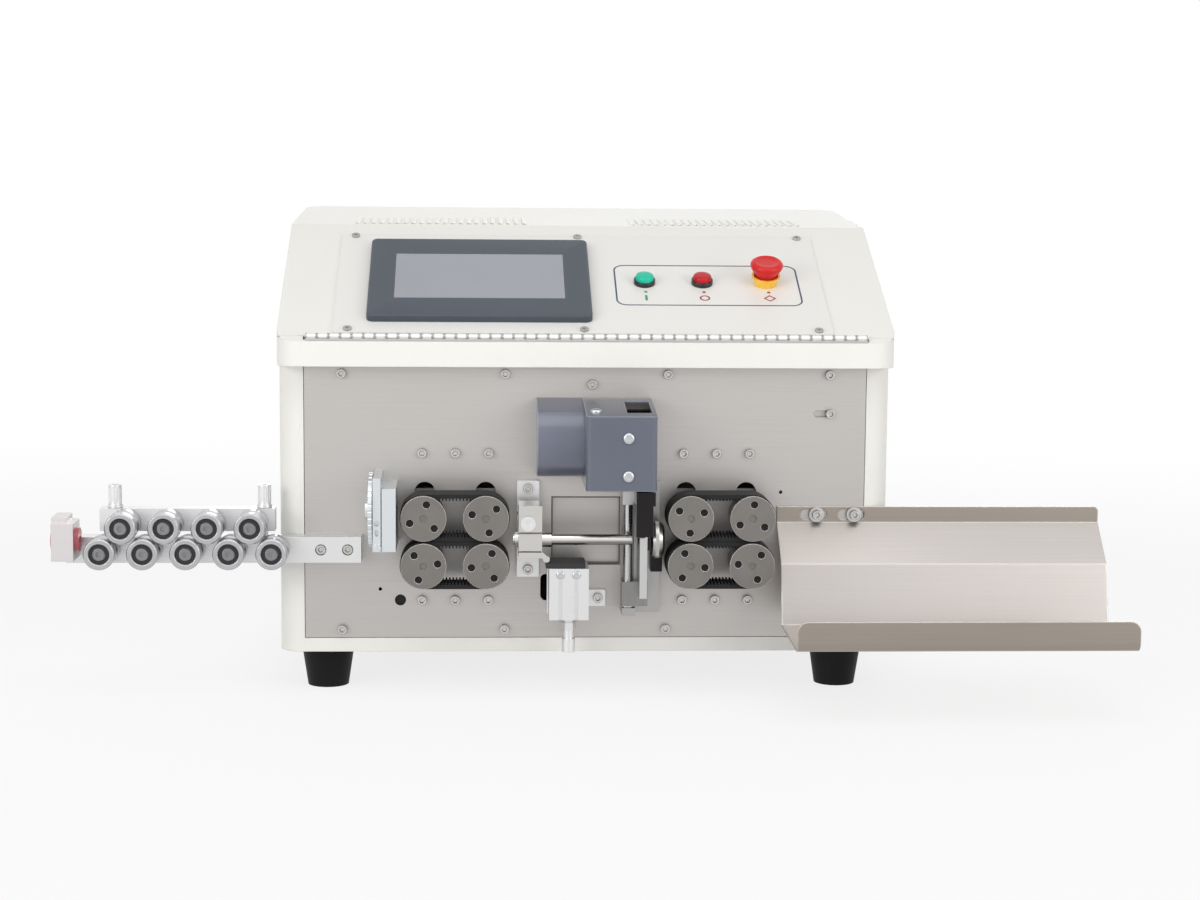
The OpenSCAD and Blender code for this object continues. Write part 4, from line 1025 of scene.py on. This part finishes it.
mushroom = new_round("estop_cap", HEAD_FOOT_R, HEAD_FOOT_T, HEAD_MIDDLE, sides=64)
edit(mushroom)
pick_ends(mushroom, UP)
draw_out(HEAD_FOOT_R, HEAD_STEPS)
for border, depth in DISH_STEPS:
    inset(border)
    shift(z=-depth)
pick_ends(mushroom, DOWN)
for border, length in STEM_STEPS:
    inset(border)
    push(z=-length)
object_mode()
smooth(mushroom, 42.0)
seat(mushroom, ESTOP_X)
tell(mushroom)

# %% [markdown]
# ## Printed lines and marks
# A dark blue line with round corners is printed round the three controls, with a dot under each.
# Plain marks stand below the dots: an upright bar, a ring and a diamond. They are modelled as very
# thin plates on the panel, so that they stay sharp at any size. The rings and the line are made by
# insetting both faces of a plate and joining the two inner faces to a hole.

# %% Print on the panel
PRINT_T = 0.12
PRINT_N = PANEL_FACE + PRINT_T / 2
LINE_W, LINE_H, LINE_CORNER, LINE_T = 170.0, 76.3, 10.0, 1.5
LINE_X, LINE_A, DOT_A, MARK_A = 113.0, 102.0, 89.0, 78.0
MARKS_X = START_X + 0.2, STOP_X + 0.5, ESTOP_X + 1.4
DOT_R, DOT_BORDER, DOT_RISE = 1.6, 0.3, 0.03
BAR_W, BAR_H, RING_R, DIAMOND_R = 2.2, 9.6, 4.8, 5.8

frame_line = new_block("frame_line", (LINE_W, LINE_H, PRINT_T))
round_corners(frame_line, AXIS_Z, LINE_CORNER, 8)
bore_through(frame_line, LINE_T)
lay_on_slope(frame_line, LINE_X, LINE_A, PRINT_N)

first_dot = new_round("start_dot", DOT_R, PRINT_T, sides=20)
edit(first_dot)
pick_ends(first_dot, UP)
inset(DOT_BORDER)
shift(z=DOT_RISE)
object_mode()
dots = [first_dot, copy_of(first_dot, "stop_dot"), copy_of(first_dot, "estop_dot")]
start_mark = new_block("start_mark", (BAR_W, BAR_H, PRINT_T))
round_corners(start_mark, AXIS_Z, 0.5, 3)
stop_mark = new_round("stop_mark", RING_R, PRINT_T, sides=32)
bore_through(stop_mark, 1.5)
estop_mark = new_round("estop_mark", DIAMOND_R, PRINT_T, sides=4)
bore_through(estop_mark, 1.3)
marks = [start_mark, stop_mark, estop_mark]
for dot, mark, x in zip(dots, marks, MARKS_X):
    lay_on_slope(dot, x, DOT_A, PRINT_N)
    lay_on_slope(mark, x, MARK_A, PRINT_N)
print("prints:", 1 + len(dots) + len(marks))

# %% [markdown]
# ## Output tray
# The tray is one bent sheet. A flat strip as high as the flange is drawn out edge by edge along
# the bends, the foot of the front lip gets its wide roll, and then the sheet gets its thickness.
# The ends of lip and flange are rounded, and the two slots of the flange are cut last.

# %% Output tray
TRAY_X0, TRAY_X1, TRAY_Y, SHEET = 172.2, 465.2, -1.8, 1.5
FLANGE_HIGH, FLANGE_LOW = 24.4, 10.0
LIP_Y, LIP_FOOT, LIP_TOP = -150.0, -78.0, -52.5
TRAY_BENDS = ((-36.0, -22.5), (-49.0, -75.0), (LIP_Y, LIP_FOOT), (LIP_Y, LIP_TOP))
LIP_ROLL, LIP_CORNER, FLANGE_CORNER = 7.0, 9.0, 4.0
SLOT_R, SLOT_LEN, SLOT_UP, SLOT_MIDDLES = 4.6, 15.0, 17.0, (205.7, 239.7)
SLOT_R_SLACK, CUTTER_DEEP, CUTTER_Y = 0.02, 8.0, -2.0

clear_selection()
bpy.ops.mesh.primitive_plane_add(size=1.0, rotation=FACING_FRONT)
tray = settle(bpy.context.object)
tray.name = tray.data.name = "tray_sheet"
bpy.ops.transform.resize(value=((TRAY_X1 - TRAY_X0) * MM, 1.0, (FLANGE_HIGH - FLANGE_LOW) * MM))
bpy.ops.transform.translate(value=((TRAY_X0 + TRAY_X1) / 2 * MM, TRAY_Y * MM,
                                   (WIRE_Z + (FLANGE_HIGH + FLANGE_LOW) / 2) * MM))
settle(tray)
edit(tray)
pick_edges(tray, lambda m, d: abs(d.x) > ALONG and m.z < WIRE_Z + FLANGE_LOW + 1.0)
bend_y, bend_z = TRAY_Y, FLANGE_LOW
for next_y, next_z in TRAY_BENDS:
    push(y=next_y - bend_y, z=next_z - bend_z)
    bend_y, bend_z = next_y, next_z
pick_edges(tray, lambda m, d: abs(d.x) > ALONG and m.z < WIRE_Z + LIP_FOOT + 1.0)
soften_edges(LIP_ROLL, 10)
object_mode()
thick = tray.modifiers.new("sheet", "SOLIDIFY")
thick.thickness = SHEET * MM
thick.offset = -1.0
thick.use_even_offset = True
bpy.ops.object.modifier_apply(modifier=thick.name)
edit(tray)
pick_edges(tray, lambda m, d: (
    abs(d.y) > ALONG and m.y < LIP_Y + 1.0 and m.z > WIRE_Z + LIP_TOP - 0.5))
soften_edges(LIP_CORNER, 8)
pick_edges(tray, lambda m, d: (
    abs(d.y) > ALONG and m.x > TRAY_X1 - 1.0 and m.z > WIRE_Z + FLANGE_HIGH - 0.4))
soften_edges(FLANGE_CORNER, 6)
object_mode()
for middle in SLOT_MIDDLES:
    cutter = new_block("slot_cutter", (SLOT_LEN + 2 * SLOT_R, CUTTER_DEEP, 2 * SLOT_R),
                       (middle, CUTTER_Y, WIRE_Z + SLOT_UP))
    round_corners(cutter, AXIS_Y, SLOT_R - SLOT_R_SLACK, 8)
    focus(tray)
    cut = tray.modifiers.new("slot", "BOOLEAN")
    cut.operation = "DIFFERENCE"
    cut.solver = "EXACT"
    cut.object = cutter
    bpy.ops.object.modifier_apply(modifier=cut.name)
    discard(cutter)
smooth(tray, 25.0)
move_to(tray, at())
tell(tray)

# %% [markdown]
# ## Louvres on the roof
# Each vent slot of the roof has a pressed flap over it. The flap starts from the sheet on the side
# that looks to the middle and opens to the outside. One flap per group is a small bar with one
# long side lifted, and it is copied along the slots and joined to one piece.

# %% Louvre flaps
ROOF_TILT = math.radians(3.6)
ROOF_FRONT_Y, ROOF_FRONT_Z = 173.53, 415.32
VENTS, VENT_PITCH, VENT_GROUP_X = 22, 7.6, 132.0
FLAP_SIZE, FLAP_MIDDLE = (4.8, 61.0, 1.0), (0.0, 44.0, 0.1)
FLAP_RISE, FLAP_R, FLAP_CREST = 1.2, 0.35, 0.3

louvres = []
for name, side in (("louvre_left", -1), ("louvre_right", 1)):
    flap = new_block(name, FLAP_SIZE, FLAP_MIDDLE)
    edit(flap)
    pick_faces(flap, lambda middle, normal: normal.x * side > ALONG)
    shift(z=FLAP_RISE)
    pick_edges(flap, lambda m, d: abs(d.y) > ALONG and m.z > FLAP_CREST)
    soften_edges(FLAP_R)
    object_mode()
    smooth(flap, 50.0)
    row = []
    for i in range(VENTS):
        x = side * VENT_GROUP_X + (i - (VENTS - 1) / 2) * VENT_PITCH
        one = copy_of(flap, f"{name}_{i}")
        row.append(move_to(one, at(x, ROOF_FRONT_Y, ROOF_FRONT_Z), (ROOF_TILT, 0.0, 0.0)))
    louvres.append(join_pieces(row, name + "_row"))
    discard(flap)
print("louvre rows:", [len(o.data.polygons) for o in louvres])

# %% [markdown]
# ## Bearing shields, bolts, screws and painted shade
# Each roller turns on a ball bearing whose black shield shows as a ring round the bolt. Three black
# bolts hold each pulley's disc and sit sunk in its holes; they are joined to one piece per pulley,
# because they turn with it. A black disc sunk in the cable hole of the plate is painted shade in
# the hole, and a thin dark frame round the pocket behind the guide tube is painted shade along its
# edges. Pale screws with a socket sit on the front and the top of the cutter cover, and two smaller
# ones hold the head of the lift cylinder.

# %% Bearing shields
SHIELD_R, SHIELD_T, SHIELD_WALL = 8.6, 0.7, 3.0
ROLLER_FACE_Y, SHIELD_SUNK = -53.0, 2.7

shield = new_round("shield", SHIELD_R, SHIELD_T, sides=40)
bore_through(shield, SHIELD_WALL)
round_edges(shield, 0.15)
shield_y = at(y=ROLLER_FACE_Y + SHIELD_SUNK).y
shields = {}
for node in rollers:
    ring = copy_of(shield, "shield_" + node)
    shields[node] = move_to(ring, (axis_of[node].x, shield_y, axis_of[node].z), FACING_FRONT)
discard(shield)
print("shields:", len(shields))

# %% Pulley bolts
DISC_FACE_Y, BOLT_CIRCLE_R = -56.9, 12.6
BOLT_TURNS = {
    "pulley_l1": 12.0, "pulley_l2": 47.0, "pulley_l3": 80.0, "pulley_l4": 25.0,
    "pulley_r1": 64.0, "pulley_r2": 5.0, "pulley_r3": 95.0, "pulley_r4": 38.0,
}

bolt = new_turned("bolt", radius=3.25, length=2.4, middle=-1.8, bores=((1.3, 1.2),), sides=24)
round_edges(bolt, 0.25)
disc_y = at(y=DISC_FACE_Y).y
bolts = {}
for node, turn in BOLT_TURNS.items():
    three = []
    for third in (0.0, 120.0, 240.0):
        angle = math.radians(turn + third)
        aside = Vector((math.sin(angle), 0.0, math.cos(angle))) * BOLT_CIRCLE_R * MM
        place = Vector((axis_of[node].x, disc_y, axis_of[node].z)) + aside
        three.append(move_to(copy_of(bolt, f"bolt_{node}_{third:.0f}"), place, FACING_FRONT))
    bolts[node] = join_pieces(three, "bolts_" + node)
discard(bolt)
print("sets of bolts:", len(bolts))

# %% Painted shade in the cable hole
HOLE_SHADE_X, HOLE_SHADE_UP = -166.0, -61.0

# A black disc sunk in the hole stands for the shade inside it: painted shade.
hole_shade = new_turned("hole_shade_disc", radius=4.8, length=2.0, middle=-1.6, bores=((1.0, 0.5),), sides=32)
round_edges(hole_shade, 0.2)
move_to(hole_shade, at(HOLE_SHADE_X, 0.0, WIRE_Z + HOLE_SHADE_UP), FACING_FRONT)
tell(hole_shade)

# %% Painted shade round the pocket
SHADE_FRAME_SIZE, SHADE_FRAME_MIDDLE = (61.8, 61.8, 1.4), (0.0, 0.0, -1.1)
SHADE_FRAME_WALL, SHADE_FRAME_UP = 1.1, 2.0

# A thin dark frame in the pocket, against its walls, is painted shade along the pocket's edges.
shade_frame = new_block("pocket_shade_frame", SHADE_FRAME_SIZE, SHADE_FRAME_MIDDLE)
bore_through(shade_frame, SHADE_FRAME_WALL)
round_edges(shade_frame, 0.2)
move_to(shade_frame, at(z=WIRE_Z + SHADE_FRAME_UP), FACING_FRONT)
tell(shade_frame)

# %% Cover screws
HEAD_R, HEAD_HIGH = 4.9, 1.0
HEAD_DOME = ((0.7, 0.93), (0.5, 0.82))
SOCKET_BORDER, SOCKET_DEEP = 1.5, 1.2
COVER_TOP_TURN = (math.radians(6.3), 0.0, 0.0)
# Size, place with the height over the wire, and turn of each screw.
SCREWS = {
    "cover_screw_high": (1.0, (32.5, -85.0, 95.0), FACING_FRONT),
    "cover_screw_low": (1.0, (32.5, -85.0, 62.0), FACING_FRONT),
    "cover_screw_top": (1.0, (5.0, -64.0, 116.1), COVER_TOP_TURN),
    "cylinder_screw_left": (0.78, (-24.0, -46.0, -30.5), FACING_FRONT),
    "cylinder_screw_right": (0.78, (-10.0, -46.0, -30.5), FACING_FRONT),
}

head = new_round("screw_head", HEAD_R, HEAD_HIGH, HEAD_HIGH / 2, sides=32)
edit(head)
pick_ends(head, UP)
for rise, share in HEAD_DOME:
    push(z=rise)
    widen(share)
inset(SOCKET_BORDER)
push(z=-SOCKET_DEEP)
object_mode()
smooth(head, 35.0)
screws = []
for name, (size, (x, y, over_wire), turn) in SCREWS.items():
    screw = copy_of(head, name)
    focus(screw)
    bpy.ops.transform.resize(value=(size, size, size), center_override=(0.0, 0.0, 0.0))
    screws.append(move_to(settle(screw), at(x, y, WIRE_Z + over_wire), turn))
discard(head)
print("screws of cover and cylinder:", len(screws))

# %% [markdown]
# ## Finishes of the modelled pieces
# The screen's pane is a dark display behind glass. Its colour, an even cool grey with a slow change
# of tone across it, is a painted reflection of the pale room, and the pale line along its edges is
# a painted highlight. The printed marks are matt ink.

# %% Dress the pieces
glass, tree, shader = start_finish("screen pane", Coat_Weight=0.7, Coat_Roughness=0.12)
slow = use_group(tree, grain_group, Scale=60.0, Clouds=9.0)
base = mix_colours(tree, slow["Cloud"], (150, 155, 162), (134, 138, 146))
close_finish(tree, shader, base, slow["Cloud"], rough=0.22, span=0.08, bump=0.02, edge=0.0003,
             rim=(190, 195, 201), rim_share=0.8, height=slow["Grain"])
ink_blue = grained("blue ink", (74, 80, 108), (64, 70, 98), 0.5, bump=0.02)
ink_green = grained("green ink", (70, 150, 122), (58, 136, 108), 0.5, bump=0.02)
ink_red = grained("red ink", (158, 62, 66), (142, 48, 54), 0.5, bump=0.02)
shield_black = grained("shield black", (30, 30, 31), (22, 22, 23), 0.4, bump=0.1)
bolt_black = grained("bolt black", (20, 20, 21), (12, 12, 13), 0.5, bump=0.1,
                     Specular_IOR_Level=0.3)
# Grey of the frame that is painted shade round the pocket.
shade_frame_grey = grained("pocket shade grey", (126, 120, 116), (108, 103, 99), 0.6, bump=0.1)
# The pale screws get a lighter tone along their edges: a painted highlight.
pale_screw = brushed("pale screw", (208, 210, 214), (184, 186, 190), 0.3,
                     stretch=(300.0, 300.0, 300.0), clouds=60.0, rim=(244, 244, 246))

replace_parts(dress(bezel, bezel_plastic, "hood"), "touch_screen")
dress(pane, glass, "hood")
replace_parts(dress(lens, green_lens, "start"), "start_button")
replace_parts(dress(stop_lens, red_lens, "stop"), "stop_button")
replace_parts(dress(mushroom, mushroom_red, "estop"), "estop_head")
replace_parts(dress(collars, collar_finish, "hood"), "button_collars")
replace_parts(dress(tray, tray_metal, "tray"), "output_tray")
dress(frame_line, ink_blue, "hood")
for dot, mark, ink in zip(dots, marks, (ink_green, ink_red, ink_red)):
    dress(dot, ink, "hood")
    dress(mark, ink, "hood")
for row in louvres:
    dress(row, ivory, "hood")
for node, ring in shields.items():
    dress(ring, shield_black, node)
for node, set_of_three in bolts.items():
    dress(set_of_three, bolt_black, node)
dress(hole_shade, bolt_black, "casing")
dress(shade_frame, shade_frame_grey, "casing")
for screw in screws:
    dress(screw, pale_screw, "casing")
bare = sorted(n for n, o in nodes.items() if not o.data.materials)
print("solids without a finish:", bare)

# %% [markdown]
# ## End
# The selection is left empty at the end.

# %% Clear the selection
clear_selection()
